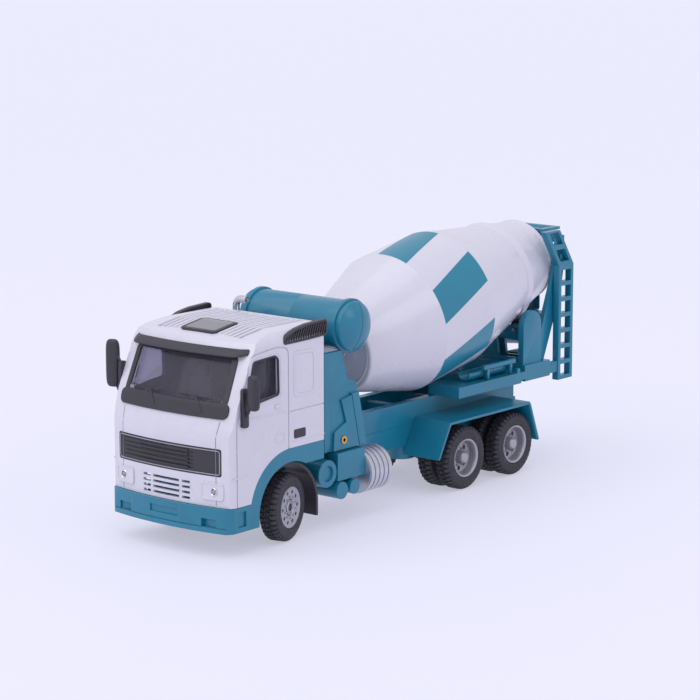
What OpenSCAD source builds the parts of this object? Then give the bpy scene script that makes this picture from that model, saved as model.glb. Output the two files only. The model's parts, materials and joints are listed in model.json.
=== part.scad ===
// Toy cement mixer lorry: a 1:50 three-axle chassis with a forward-control cab,
// steered front wheels, two driven twin-tyred axles and a revolving mixing drum.
// Millimetres. X is the lorry's left, -Y is its nose and Z is up; the wheels stand on Z = 0.

/* [Chassis] */
// Front axle to first rear axle
wheelbase = 90.6; // [80:0.2:120]
// First rear axle to second rear axle
bogie_pitch = 27.4; // [24:0.2:34]
// Nose to front axle
front_overhang = 29.9; // [28:0.1:38]
// Second rear axle to the rearmost point
rear_overhang = 43.4; // [42:0.2:60]
// Width over the chassis rails
frame_w = 20; // [16:0.5:24]
// Height of a chassis rail
rail_h = 7; // [5:0.5:9]
// Top of the chassis rails above the ground
rail_top = 22.5; // [21:0.5:27]
// Height of the subframe that carries the mixer
subframe_h = 7.5; // [5:0.5:10]
// Width of a rail's flange
flange_w = 3; // [2.4:0.2:4]
// Thickness of a rail's web and flanges
rail_t = 1; // [0.8:0.1:1.4]

/* [Wheels] */
// Outside diameter of the tyres
tyre_d = 21.4; // [17:0.2:25]
// Width of a front tyre
front_tyre_w = 6.2; // [5:0.2:7]
// Width of a rear tyre
rear_tyre_w = 5.6; // [4.4:0.2:5.8]
// Gap between the twin tyres of a pair
twin_gap = 2; // [0.4:0.1:2.2]
// Distance over the outer faces of the rear tyres
rear_track = 48.6; // [46:0.2:50]
// Diameter of the rims under the tyres
rim_d = 13; // [11:0.2:14]
// Diameter of the rear axle shafts
axle_d = 3; // [2:0.1:3.6]
// Distance between the two kingpins
kingpin_span = 32; // [28:0.5:34]
// Kingpin to the outer face of a front tyre
kingpin_to_face = 8; // [7.6:0.2:9]
// Angle by which the front wheels are steered to the left at rest
steer_rest = 14; // [0:1:18]
// Largest steering angle each way
steer_max = 18; // [10:1:20]

/* [Cab] */
// Width of the cab
cab_w = 49.8; // [44:0.2:50]
// Length of the cab from its front face to its back wall
cab_l = 45.2; // [43:0.1:56]
// Bottom edge of the cab's front face
cab_bottom = 15.6; // [14:0.2:18]
// Top of the cab roof
cab_top = 66.8; // [58:0.2:78]
// Wall thickness of the cab shell
cab_wall = 1.2; // [0.8:0.1:1.6]
// Radius of the cab's bowed front in plan
cab_bow = 120; // [90:1:160]
// Inner radius of the wheel arches
arch_r = 14.8; // [13:0.2:16]
// Width of the coloured band around the wheel arches
arch_band = 4.3; // [3:0.1:5]

/* [Mixer drum] */
// Greatest radius of the drum
drum_r = 24; // [19:0.2:25]
// Radius of the drum's front plate
drum_front_r = 14.8; // [11:0.2:18]
// Radius of the drum's open mouth
drum_mouth_r = 14; // [11:0.2:16]
// Length of the front cone
front_cone_l = 28.6; // [20:0.2:34]
// Length of the straight belly
belly_l = 26.5; // [20:0.2:32]
// Length of the rear cone
rear_cone_l = 47.3; // [36:0.2:52]
// Wall of the drum
drum_wall = 1.2; // [0.8:0.1:2]
// Slope of the drum's axis
drum_tilt = 10.25; // [8:0.25:14]
// Diameter of the drum's front journal
journal_d = 5; // [4:0.2:7]
// Radius of the running track around the rear cone
track_r = 18.4; // [18.2:0.1:20]
// Radius of the two support rollers
roller_r = 3; // [2.4:0.1:3.6]

/* [Water tank] */
// Radius of the water tank
tank_r = 8.2; // [6:0.1:9]
// Length of the water tank over its domed ends
tank_l = 48; // [40:0.5:54]

/* [Fits] */
// Radial clearance of shafts and pins that turn
run_gap = 0.06; // [0.04:0.01:0.1]
// Clearance between moulded pieces that don't touch
free_gap = 0.3; // [0.2:0.05:0.5]

/* [Hidden] */
$fn = 48;

teal = [0.16, 0.45, 0.55];
white = [0.86, 0.85, 0.92];
dark = [0.2, 0.19, 0.23];
silver = [0.72, 0.72, 0.75];

// Stations along the lorry
total_l = front_overhang + wheelbase + bogie_pitch + rear_overhang;
nose_y = -total_l / 2;
tail_y = total_l / 2;
axle1_y = nose_y + front_overhang;
axle2_y = axle1_y + wheelbase;
axle3_y = axle2_y + bogie_pitch;
cab_y0 = nose_y + 1.1;
cab_y1 = cab_y0 + cab_l;
tyre_r = tyre_d / 2;
side_x = cab_w / 2;
arch_y = axle1_y + 0.9;
arch_out = arch_r + arch_band;
skirt_top = tyre_r + arch_out;
rail_x = frame_w / 2;
rail_bottom = rail_top - rail_h;
deck_z = rail_top + subframe_h;
frame_y0 = nose_y + 5;
frame_y1 = axle3_y + 19.4;

// The drum's own axis starts at the centre of its front plate
drum_l = front_cone_l + belly_l + rear_cone_l;
drum_y = cab_y1 + 35.3;
drum_z = deck_z + 20.1;
track_s = front_cone_l + belly_l + 28.8;
track_w = 3.2;
roller_angle = 32;
roller_w = 2.8;
roller_axis = track_r + roller_r + 0.05;
pin_d = 1.6;
cheek_t = 1.2;
cheek_s0 = track_s - roller_w / 2 - free_gap - cheek_t;
cheek_s1 = track_s + roller_w / 2 + free_gap;

// Front pedestal and water tank
ped_y0 = cab_y1 + 6.5;
ped_y1 = ped_y0 + 19.8;
ped_x = 19.6;
ped_t = 1.6;
tank_y = cab_y1 + 19.9;
tank_z = drum_z + 12.3;
bearing_s = -20;
bearing_t = 5;

// Rear end
base_y0 = axle3_y + 12;
base_y1 = base_y0 + 14.8;
base_t = 5.6;
base_x = 19.4;
post_y = base_y0 + 5.4;
post_w = 10.4;
post_x0 = 16.3;
post_t = 2.2;
post_top = deck_z + 24;
ladder_x = 18.4;
ladder_t = 2.4;
ladder_w = 8.6;
ladder_y1 = tail_y - 3.4;
ladder_y0 = ladder_y1 - ladder_w;
ladder_z0 = 27.6;
rung_pitch = 5.55;
rungs = 7;
bend_z = ladder_z0 + rung_pitch * rungs + 1.6;
hopper_z = bend_z + 12;
hopper_x = 11.2;
hopper_y1 = tail_y;
hopper_y0 = hopper_y1 - 10.2;
strut_x = drum_mouth_r + 1.2;
strut_t = 1.6;
chute_x = 3;
chute_y = base_y1 + 7.6;
chute_z = deck_z + 13.4;
chute_r = 4.6;
chute_l = 25;

// Placing and shape helpers
module mirrored_x() {
    children();
    mirror([1, 0, 0]) children();
}

module along_x(r, l) {
    rotate([0, 90, 0]) cylinder(r = r, h = l, center = true);
}

module along_y(r, l) {
    rotate([-90, 0, 0]) cylinder(r = r, h = l);
}

// Extrudes an outline drawn in (Y, Z) between two X positions
module side_plate(x0, x1) {
    translate([x0, 0, 0]) rotate([90, 0, 90]) linear_extrude(x1 - x0) children();
}

// Extrudes an outline drawn in (X, Z) between two Y positions
module cross_plate(y0, y1) {
    translate([0, y1, 0]) rotate([90, 0, 0]) linear_extrude(y1 - y0) children();
}

module block(x0, x1, y0, y1, z0, z1) {
    translate([x0, y0, z0]) cube([x1 - x0, y1 - y0, z1 - z0]);
}

module rounded_rect(w, h, r) {
    square([w - 2 * r, h], center = true);
    square([w, h - 2 * r], center = true);
    for (sx = [-1, 1], sy = [-1, 1])
        translate([sx * (w / 2 - r), sy * (h / 2 - r)]) circle(r);
}

// Puts children in the drum's frame: local Z runs along its axis from the front plate
module drum_frame() {
    translate([0, drum_y, drum_z]) rotate([drum_tilt - 90, 0, 0]) mirror([0, 1, 0]) children();
}

module wheel_frame(side, steer) {
    translate([side * kingpin_span / 2, axle1_y, tyre_r]) rotate([0, 0, steer]) children();
}

// Chassis
module c_rail(z0, h, y0, y1) {
    mirrored_x() cross_plate(y0, y1) difference() {
        translate([rail_x - flange_w, z0]) square([flange_w, h]);
        translate([rail_x - flange_w - 1, z0 + rail_t]) square([flange_w - rail_t + 1, h - 2 * rail_t]);
    }
}

module crossmember(y, z0, z1, l) {
    block(rail_t - rail_x, rail_x - rail_t, y - l / 2, y + l / 2, z0, z1);
}

frame_screws = [cab_y1 + 3, axle2_y - 22, frame_y1 - 2];
screw_r = 1.5;
screw_h = 2;
screw_z = rail_bottom + 0.6;

module chassis_frame() color(teal) {
    c_rail(rail_bottom, rail_h, frame_y0, frame_y1);
    difference() {
        for (y = concat(frame_screws, [frame_y0 + 2, axle1_y, (axle2_y + axle3_y) / 2]))
            crossmember(y, rail_bottom + rail_t, rail_top - rail_t, 4);
        for (y = frame_screws) translate([0, y, screw_z - 1])
            cylinder(r = screw_r + 0.02, h = screw_h + 1.02);
    }
    // Cab mounts
    mirrored_x() for (y = [cab_y0 + 9, cab_y1 - 6])
        block(rail_x - flange_w, rail_x, y - 2, y + 2, rail_top, skirt_top - 0.2);
    // Body of the exhaust bracket
    block(-rail_x - 1.6, -rail_x, cab_y1 + 2.6, cab_y1 + 6, rail_bottom + 1, rail_bottom + 6);
}

module subframe() color(teal) {
    mirrored_x() block(rail_x - flange_w, rail_x, ped_y0, frame_y1 - 1, rail_top, deck_z);
    for (y = [ped_y0 + 2, ped_y1 - 2, axle2_y - 14, axle2_y + 5, axle3_y, frame_y1 - 4])
        crossmember(y, rail_top, deck_z - 1.4, 3);
}

// Bearing blocks of the two rear axles
module axle_hangers() color(teal) for (y = [axle2_y, axle3_y]) difference() {
    union() {
        mirrored_x() block(rail_x - flange_w, rail_x, y - 4.4, y + 4.4,
            tyre_r - axle_d / 2 - 1.4, rail_bottom);
        block(flange_w - rail_x, rail_x - flange_w, y - 2.6, y + 2.6, tyre_r + 2.2, rail_bottom);
    }
    translate([0, y, tyre_r]) along_x(axle_d / 2 + run_gap, frame_w + 2);
}

// Steered front axle
beam_z = tyre_r + 1.6;
boss_r = 2.2;
kingpin_d = 1.8;

module front_axle_beam() color(dark) difference() {
    union() {
        block(-kingpin_span / 2, kingpin_span / 2, axle1_y - 1.6, axle1_y + 1.6, tyre_r - 1.2, beam_z);
        block(-rail_x, rail_x, axle1_y - 3, axle1_y + 3, beam_z, rail_bottom);
        for (s = [-1, 1]) translate([s * kingpin_span / 2, axle1_y, tyre_r - 1.2])
            cylinder(r = boss_r, h = beam_z - tyre_r + 1.2);
    }
    for (s = [-1, 1]) translate([s * kingpin_span / 2, axle1_y, 0])
        cylinder(d = kingpin_d + 2 * run_gap, h = tyre_d);
}

stub_d = 2.4;
fork_t = 1.2;
arm_l = 8;
front_in = kingpin_to_face - front_tyre_w;

// Knuckle in its own frame: kingpin on Z, stub axle along X, track arm to the rear
module knuckle(side) color(dark) {
    cylinder(d = kingpin_d, h = 2 * (beam_z - tyre_r) + 3.2, center = true);
    for (z = [beam_z - tyre_r + 0.12, -1.2 - 0.12 - fork_t])
        translate([0, 0, z]) {
            cylinder(r = boss_r, h = fork_t);
            translate([side > 0 ? 0 : -boss_r - 1.6, -1.4, 0]) cube([boss_r + 1.6, 2.8, fork_t]);
        }
    translate([side > 0 ? boss_r + 0.2 : -boss_r - 1.6, -1.4, -1.2 - 0.12 - fork_t])
        cube([1.4, 2.8, beam_z - tyre_r + 2.64 + 2 * fork_t - 1.2]);
    rotate([0, side * 90, 0]) translate([0, 0, boss_r + 0.2])
        cylinder(d = stub_d, h = kingpin_to_face - boss_r - 1.2);
    translate([-1.1, 0, -1.2 - 0.12 - fork_t]) cube([2.2, arm_l, fork_t]);
    translate([0, arm_l, -1.2 - 0.12 - fork_t]) cylinder(r = 1.1, h = fork_t);
    translate([0, arm_l, -1.2 - 0.12 - 2 * fork_t - 0.4]) cylinder(d = 1, h = fork_t + 0.5);
}

module knuckle_left() wheel_frame(1, steer_rest) knuckle(1);
module knuckle_right() wheel_frame(-1, steer_rest) knuckle(-1);

rod_dx = -arm_l * sin(steer_rest);
rod_y = axle1_y + arm_l * cos(steer_rest);
rod_z = tyre_r - 1.2 - 0.12 - 2 * fork_t - 0.3;

module tie_rod() color(dark) translate([rod_dx, rod_y, rod_z]) difference() {
    union() {
        translate([0, 0, fork_t / 2 + 0.02]) cube([kingpin_span, 1.4, fork_t - 0.2], center = true);
        for (s = [-1, 1]) translate([s * kingpin_span / 2, 0, 0.12]) cylinder(r = 1.3, h = fork_t - 0.2);
    }
    translate([kingpin_span / 2, 0, -1]) cylinder(d = 1 + 2 * run_gap, h = 4);
    translate([-kingpin_span / 2, 0, -1]) cylinder(d = 1.3, h = 4);
}

// Tyre about local X, its outer face at x = 0 and its body towards -X
module tyre(w) color(dark) rotate([0, -90, 0]) rotate_extrude($fn = 96) difference() {
    translate([rim_d / 2, 0]) polygon([[0, 0.5], [0.5, 0], [tyre_r - rim_d / 2 - 1.3, 0],
        [tyre_r - rim_d / 2, 1.1], [tyre_r - rim_d / 2, w - 1.1], [tyre_r - rim_d / 2 - 1.3, w],
        [0.5, w], [0, w - 0.5]]);
    for (k = [1, 2, 3]) translate([tyre_r - 0.45, k * w / 4 - 0.2]) square([1, 0.4]);
}

front_hole = stub_d / 2 + run_gap;

// Front rim: a nearly flat face with a ring of hand holes and a nut ring
module front_rim() color(silver) difference() {
    rotate([0, -90, 0]) rotate_extrude($fn = 96) polygon([[front_hole, 0.2], [1.7, 0.2], [1.7, 0.9],
        [2.4, 0.9], [2.8, 0.3], [rim_d / 2 - 0.7, 0.3], [rim_d / 2, 0.05], [rim_d / 2, front_tyre_w - 0.3],
        [rim_d / 2 - 0.9, front_tyre_w - 0.3], [rim_d / 2 - 0.9, 1.9], [3, 1.9], [3, 3.9], [front_hole, 3.9]]);
    for (k = [0:9]) rotate([36 * k, 0, 0]) translate([0, rim_d / 2 - 1.7, 0])
        rotate([0, -90, 0]) cylinder(r = 0.55, h = 6, $fn = 16, center = true);
}

module front_rim_left() wheel_frame(1, steer_rest) translate([kingpin_to_face, 0, 0]) front_rim();
module front_tyre_left() wheel_frame(1, steer_rest) translate([kingpin_to_face, 0, 0]) tyre(front_tyre_w);
module front_rim_right() wheel_frame(-1, steer_rest)
    translate([-kingpin_to_face, 0, 0]) rotate([0, 0, 180]) front_rim();
module front_tyre_right() wheel_frame(-1, steer_rest)
    translate([-kingpin_to_face, 0, 0]) rotate([0, 0, 180]) tyre(front_tyre_w);

// Rear wheels: deep dished outer rims, twin tyres and one shaft for each axle
twin_in = 2 * rear_tyre_w + twin_gap;

module rear_rim() color(silver) difference() {
    rotate([0, -90, 0]) rotate_extrude($fn = 96) polygon([[axle_d / 2, 0.9], [1.9, 0.9], [2.3, 3.2],
        [rim_d / 2 - 1.2, 3.2], [rim_d / 2 - 0.7, 0.3], [rim_d / 2, 0.05], [rim_d / 2, twin_in - 0.3],
        [rim_d / 2 - 0.9, twin_in - 0.3], [rim_d / 2 - 0.9, 4.4], [axle_d / 2 + 0.8, 4.4],
        [axle_d / 2 + 0.8, twin_in - 1], [axle_d / 2, twin_in - 1]]);
    for (k = [0:7]) rotate([45 * k, 0, 0]) translate([0, rim_d / 2 - 2.6, 0])
        rotate([0, -90, 0]) cylinder(r = 0.75, h = 6, $fn = 16);
}

module rear_pair(y) translate([0, y, tyre_r]) for (s = [0, 180])
    rotate([0, 0, s]) translate([rear_track / 2, 0, 0]) children();

module rear_tyre_pair() {
    tyre(rear_tyre_w);
    translate([-rear_tyre_w - twin_gap, 0, 0]) tyre(rear_tyre_w);
}

module rear_shaft(y) color(silver) translate([0, y, tyre_r]) along_x(axle_d / 2, rear_track - 1.6);

module rear_axle_1() rear_shaft(axle2_y);
module rear_rims_1() rear_pair(axle2_y) rear_rim();
module rear_tyres_1() rear_pair(axle2_y) rear_tyre_pair();
module rear_axle_2() rear_shaft(axle3_y);
module rear_rims_2() rear_pair(axle3_y) rear_rim();
module rear_tyres_2() rear_pair(axle3_y) rear_tyre_pair();

// Cab. Its outline in (Y, Z) is revolved about a far vertical axis, which bows the whole front
sill_z = cab_bottom + 26.6;
screen_z0 = sill_z + 4;
screen_z1 = cab_top - 6.4;
screen_y0 = 2.8;
screen_y1 = 9;
corner_r = 4;
bow_drop = cab_bow - sqrt(pow(cab_bow, 2) - pow(side_x, 2));

module cab_outline(i, z0) polygon([
    [i, z0], [i, sill_z - 5], [1.6 + i, sill_z], [screen_y0 + i, screen_z0], [screen_y1 + i, screen_z1],
    [screen_y1 + 2.6 + i, cab_top - 2.6 - i], [screen_y1 + 6 + i, cab_top - 1.4 - i],
    [screen_y1 + 15, cab_top - i], [cab_l + 12, cab_top - i], [cab_l + 12, z0]]);

// Revolves an outline whose Y is measured back from the nose face
module bowed(y0) translate([0, y0 + cab_bow, 0]) rotate([0, 0, -150]) rotate_extrude(angle = 120, $fn = 360)
    intersection() {
        translate([cab_bow, 0]) mirror([1, 0]) children();
        translate([1, 0]) square([cab_bow + 10, 2 * cab_top]);
    }

// Plan of the cab with rounded front corners, reduced by an inset
module cab_plan(i) {
    w = side_x - i;
    y0 = cab_y0 + bow_drop - 1.6 + i;
    block_l = cab_y1 - i - y0;
    translate([-w, y0 + corner_r]) square([2 * w, block_l - corner_r]);
    translate([corner_r - w, y0 - 6]) square([2 * (w - corner_r), block_l]);
    for (s = [-1, 1]) translate([s * (w - corner_r), y0 + corner_r]) circle(corner_r);
}

// Front view of the cab with rounded roof edges
module cab_front_view(i) {
    w = side_x - i;
    r = 5;
    translate([-w, 0]) square([2 * w, cab_top - i - r]);
    translate([r - w, 0]) square([2 * (w - r), cab_top - i]);
    for (s = [-1, 1]) translate([s * (w - r), cab_top - i - r]) circle(r);
}

module cab_solid(i, z0) intersection() {
    bowed(cab_y0) cab_outline(i, z0);
    translate([0, 0, z0]) linear_extrude(cab_top) cab_plan(i);
    cross_plate(nose_y - 10, cab_y1 + 10) cab_front_view(i);
}

// Space taken by the wheel arch and the skirt behind it, with a radius r about the axle
module arch_space(r, gap) {
    translate([0, arch_y, tyre_r]) along_x(r, 2 * cab_w);
    block(-cab_w, cab_w, arch_y, cab_y1 + 5, 0, skirt_top + gap);
    block(-cab_w, cab_w, arch_y - r, cab_y1 + 5, 0, tyre_r);
}

module side_window() polygon([[cab_y0 + 9.2, screen_z0 - 0.6], [cab_y0 + 24.2, screen_z0 + 1.2],
    [cab_y0 + 24, screen_z1 - 2], [cab_y0 + 22.6, screen_z1 - 0.8], [cab_y0 + 12.6, screen_z1 - 1.4]]);

grille_z0 = cab_bottom + 9.4;
grille_h = 8.6;
grille_w = 42.8;

module slot_rows() for (k = [0:3], s = [-1, 0, 1]) {
    w = s == 0 ? 10.8 : 3.2;
    translate([s * 8.1 - w / 2, cab_bottom + 1.2 + 1.65 * k]) square([w, 0.8]);
}

lamp_x = side_x - 6.1;
lamp_z = cab_bottom + 4.8;
rib_pitch = 4.2;

module cab_shell() color(white) difference() {
    union() {
        difference() {
            cab_solid(0, cab_bottom);
            cab_solid(cab_wall, cab_bottom - 1);
        }
        // Headlamp housings
        intersection() {
            difference() {
                bowed(cab_y0) translate([-0.3, 0]) square([3, cab_top]);
                bowed(cab_y0) translate([cab_wall - 0.2, 0]) square([3, cab_top]);
            }
            cross_plate(nose_y - 5, cab_y0 + 8) mirrored_x() translate([lamp_x - 0.6, lamp_z])
                rounded_rect(8, 5, 1);
        }
        // Roof ribs
        for (k = [-4:4]) translate([rib_pitch * k, 0, 0])
            block(-0.5, 0.5, hatch_y + hatch_l / 2 + 1.6, cab_y1 - 3, cab_top - 0.6, cab_top + 0.3);
    }
    arch_space(arch_out + 0.05, 0.05);
    cross_plate(nose_y - 5, cab_y0 + 12) translate([0, (screen_z0 + screen_z1) / 2])
        rounded_rect(2 * side_x - 11, screen_z1 - screen_z0 - 1.2, 1.5);
    side_plate(-cab_w, cab_w) side_window();
    cross_plate(nose_y - 5, cab_y0 + 5) slot_rows();
    // Recess for the grille
    intersection() {
        cross_plate(nose_y - 5, cab_y0 + 8) translate([0, grille_z0 + grille_h / 2])
            rounded_rect(grille_w, grille_h, 0.8);
        difference() {
            bowed(cab_y0) translate([-2, 0]) square([4, cab_top]);
            bowed(cab_y0) translate([0.6, 0]) square([6, cab_top]);
        }
    }
    // Seats of the headlamp jewels
    mirrored_x() translate([lamp_x, nose_y - 1, lamp_z]) along_y(0.9, bow_drop + 4);
    // Roof hatch opening
    block(-hatch_w / 2, hatch_w / 2, hatch_y - hatch_l / 2, hatch_y + hatch_l / 2, cab_top - 3, cab_top + 3);
    translate([0, hatch_y, cab_top - 0.65]) linear_extrude(3) rounded_rect(hatch_w + 1.7, hatch_l + 1.7, 1.2);
    // Exhaust and air notch in the back wall
    block(-6, 6, cab_y1 - 2 * cab_wall, cab_y1 + 1, 0, skirt_top + 6);
}

hatch_w = 13.4;
hatch_l = 9.8;
hatch_y = cab_y0 + 20.4;

module roof_hatch() color(dark) {
    translate([0, hatch_y, cab_top - 0.6]) linear_extrude(1) rounded_rect(hatch_w + 1.6, hatch_l + 1.6, 1.2);
    translate([0, hatch_y, cab_top - cab_wall - 0.6]) linear_extrude(1)
        square([hatch_w - 0.2, hatch_l - 0.2], center = true);
}

// One clear moulding lines the windscreen and both side windows
module glazing() color([0.6, 0.65, 0.72, 0.5]) intersection() {
    difference() {
        cab_solid(cab_wall + 0.05, cab_bottom);
        cab_solid(cab_wall + 0.85, cab_bottom);
    }
    block(-cab_w, cab_w, nose_y, cab_y0 + 26, screen_z0 - 2, screen_z1 + 0.8);
}

floor_z = skirt_top - 0.2;
inner_x = side_x - cab_wall - 1.2;

module seat(x) translate([x, cab_y0 + 21, floor_z + 1.2]) {
    translate([-4.6, 0, 0]) cube([9.2, 9, 5]);
    translate([-4.6, 7, 0]) cube([9.2, 2.6, 17]);
    translate([-2.6, 7.3, 16]) cube([5.2, 2, 4.4]);
}

module cab_interior() color([0.45, 0.45, 0.5]) {
    block(-inner_x, inner_x, cab_y0 + bow_drop + 3.4, cab_y1 - cab_wall - 0.3, floor_z, floor_z + 1.2);
    block(1.4 - inner_x, inner_x - 1.4, cab_y0 + bow_drop + 3.4, cab_y0 + bow_drop + 8,
        floor_z + 1.2, sill_z + 0.6);
    block(-4, 4, cab_y0 + bow_drop + 8, cab_y1 - 16, floor_z + 1.2, floor_z + 4);
    block(-inner_x, inner_x, cab_y1 - 11, cab_y1 - cab_wall - 0.3, floor_z + 1.2, floor_z + 8);
    seat(11.4);
    seat(-11.4);
}

wheel_tilt = 30;

module steering_wheel() color(dark)
    translate([11.4, cab_y0 + bow_drop + 8, sill_z - 1.2]) rotate([wheel_tilt - 90, 0, 0])
        translate([0, 0, 0.5]) {
            cylinder(r = 0.8, h = 2.5);
            translate([0, 0, 2.5]) cylinder(r = 1.2, h = 0.8);
            translate([0, 0, 2.9]) rotate_extrude() translate([4, 0]) circle(0.55, $fn = 16);
            for (a = [90, 210, 330]) rotate([0, 0, a]) translate([0.6, -0.5, 2.6]) cube([3.2, 1, 0.6]);
        }

module sun_visor() color(dark) intersection() {
    bowed(cab_y0) translate([0, screen_z1]) polygon([[5.8, -0.8], [6.2, -1.3], [8.2, -1.1], [8.8, 0],
        [10.8, 2.9], [9.7, 2.8], [6.3, 0.6]]);
    block(1.1 - side_x, side_x - 1.1, nose_y - 5, cab_y0 + 22, 0, 2 * cab_top);
}

module wiper(x) translate([x, cab_y0 + 1.9 + x * x / (2 * cab_bow) - 1, sill_z + 1.6]) rotate([-14, -52, 0]) {
    cylinder(r = 0.35, h = 8.4, $fn = 16);
    sphere(r = 0.7, $fn = 24);
}

module scuttle_panel() color(dark) {
    intersection() {
        difference() {
            bowed(cab_y0) polygon([[1.1, sill_z], [2.3, screen_z0 - 0.2], [4.6, screen_z0 - 0.2],
                [4.6, sill_z]]);
            bowed(cab_y0) polygon([[1.55, sill_z - 1], [1.55, sill_z], [2.75, screen_z0],
                [9, screen_z0], [9, sill_z - 1]]);
        }
        block(2.8 - side_x, side_x - 2.8, nose_y - 3, cab_y0 + 8, sill_z - 0.4, screen_z0);
    }
    wiper(13);
    wiper(-6);
}

module grille() color(dark) intersection() {
    difference() {
        bowed(cab_y0) translate([0.1, 0]) square([0.5, cab_top]);
        bowed(cab_y0) translate([0.6, 0]) square([3, cab_top]);
        // Horizontal vents
        intersection() {
            bowed(cab_y0) translate([-1, 0]) square([1.35, cab_top]);
            cross_plate(nose_y - 5, cab_y0 + 8) for (k = [0:4])
                translate([-11, grille_z0 + 1.6 + 1.15 * k]) square([22, 0.6]);
        }
    }
    cross_plate(nose_y - 5, cab_y0 + 8) translate([0, grille_z0 + grille_h / 2])
        rounded_rect(grille_w - 0.1, grille_h - 0.1, 0.75);
}

module headlamp_jewels() color([0.8, 0.8, 0.85]) mirrored_x()
    translate([lamp_x, cab_y0 + lamp_x * lamp_x / (2 * cab_bow) - 0.7, lamp_z]) along_y(0.84, 1.7);

// Dark grey air louvres at the roof's rear corners
module louvre_outline() polygon([[cab_y1 - 20, cab_top - 3.9], [cab_y1 - 15, cab_top - 1.8],
    [cab_y1 - 8, cab_top - 0.6], [cab_y1 + 1.6, cab_top - 0.2], [cab_y1 + 1.6, cab_top - 3.6]]);

module side_louvres() color(dark) difference() {
    mirrored_x() side_plate(side_x - 1.6, side_x + 0.3) louvre_outline();
    cab_solid(-0.05, cab_bottom);
    mirrored_x() for (k = [0:7]) side_plate(side_x - 0.2, side_x + 1)
        translate([cab_y1 - 16.4 + 1.9 * k, cab_top - 3.3])
            polygon([[0, 0], [0.9, 0], [1.8, 2.3], [0.9, 2.3]]);
}

mirror_x = side_x + 4.6;
mirror_y = nose_y + 8.8;
mirror_z0 = cab_top - 21.4;

// Mirror head, its two arms and the foot on the door pillar, in one moulding
module mirror_unit(head_h) color(dark) {
    translate([mirror_x, mirror_y, mirror_z0]) linear_extrude(head_h) rotate(-12) rounded_rect(5, 2.1, 0.9);
    for (z = [mirror_z0 + 3, mirror_z0 + head_h - 3]) hull() {
        translate([side_x + 0.7, mirror_y + 0.4, z - 4.6]) sphere(0.5, $fn = 16);
        translate([mirror_x - 0.6, mirror_y + 0.2, z]) sphere(0.5, $fn = 16);
    }
    block(side_x + 0.05, side_x + 1.3, mirror_y - 1, mirror_y + 1.8, mirror_z0 - 5.6, mirror_z0 + head_h - 6);
}

module mirror_left() mirror_unit(11);
module mirror_right() mirror([1, 0, 0]) mirror_unit(15.4);

// Bumper, wheel-arch bands and skirts in one moulding
bumper_z0 = cab_bottom - 7.9;
bumper_wall = 1.6;
arch_t = 1.2;

module bumper_moulding() color(teal) {
    difference() {
        intersection() {
            bowed(nose_y) translate([0, bumper_z0]) square([cab_l, cab_bottom - bumper_z0 - 0.1]);
            translate([0, 0, bumper_z0]) linear_extrude(cab_bottom) translate([0, -0.5]) cab_plan(0);
            block(-cab_w, cab_w, nose_y - 5, arch_y - arch_r, 0, cab_top);
        }
        intersection() {
            bowed(nose_y) translate([bumper_wall, bumper_z0 - 1]) square([cab_l, cab_bottom]);
            translate([0, 0, bumper_z0 - 1]) linear_extrude(cab_bottom)
                translate([0, -0.5]) cab_plan(bumper_wall);
        }
        translate([0, arch_y, tyre_r]) along_x(arch_r, 2 * cab_w);
        // Towing slot and fog lamp recesses
        cross_plate(nose_y - 1, nose_y + 0.6) translate([0, cab_bottom - 3.2])
            square([11.6, 2.2], center = true);
        mirrored_x() cross_plate(nose_y - 1, nose_y + 2.3) translate([lamp_x - 1.4, bumper_z0 + 3])
            square([5.4, 2.6], center = true);
        mirrored_x() block(side_x - 0.6, side_x + 2, nose_y + 6.4, nose_y + 10,
            bumper_z0 + 1.6, cab_bottom - 1.6);
    }
    mirrored_x() difference() {
        side_plate(side_x - arch_t, side_x) difference() {
            union() {
                translate([arch_y, tyre_r]) circle(arch_out, $fn = 96);
                translate([arch_y, skirt_top - 5.9]) square([cab_y1 - arch_y, 5.9]);
            }
            translate([arch_y, tyre_r]) circle(arch_r, $fn = 96);
            translate([arch_y, -cab_l]) square([cab_l, cab_l + skirt_top - 5.9]);
            translate([arch_y - cab_l, -cab_l]) square([cab_l + 1, cab_l + bumper_z0 + 2]);
        }
        block(-cab_w, cab_w, nose_y - 5, nose_y + 8, 0, cab_bottom - 0.2);
    }
    // Cross bar that fixes the bumper to the rails
    mirrored_x() block(rail_x - flange_w, rail_x, nose_y + bumper_wall - 0.4, frame_y0,
        cab_bottom - 6, cab_bottom - 0.1);
    mirrored_x() block(rail_x - flange_w, rail_x, frame_y0 - 1.5, frame_y0, cab_bottom - 6, rail_bottom + 4);
    // Inner flange of the skirts, carried by the cab floor
    mirrored_x() block(side_x - arch_t - 1.4, side_x - arch_t, arch_y, cab_y1 - 1.5,
        skirt_top - 1.4, skirt_top - 0.2);
}

guard_r = arch_r - 0.5;
guard_t = 0.9;
guard_x0 = kingpin_span / 2 - 2.6;
guard_x1 = side_x - arch_t - 0.3;

module front_mudguards() color(dark) mirrored_x() {
    side_plate(guard_x0, guard_x1) difference() {
        intersection() {
            translate([arch_y, tyre_r]) circle(guard_r, $fn = 96);
            translate([arch_y - 6, tyre_r]) square([guard_r + 7, guard_r + 1]);
        }
        translate([arch_y, tyre_r]) circle(guard_r - guard_t, $fn = 96);
    }
    // Rear flap and the stay from the chassis rail
    block(guard_x0 + 1, guard_x1, arch_y + guard_r - guard_t, arch_y + guard_r, tyre_r - 5, tyre_r + 0.5);
    block(rail_x, guard_x0, arch_y + 8.2, arch_y + 10.4, tyre_r + 8.6, tyre_r + 10.6);
}

guard_top = tyre_d + 3;
guard_h = 0.9;

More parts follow.
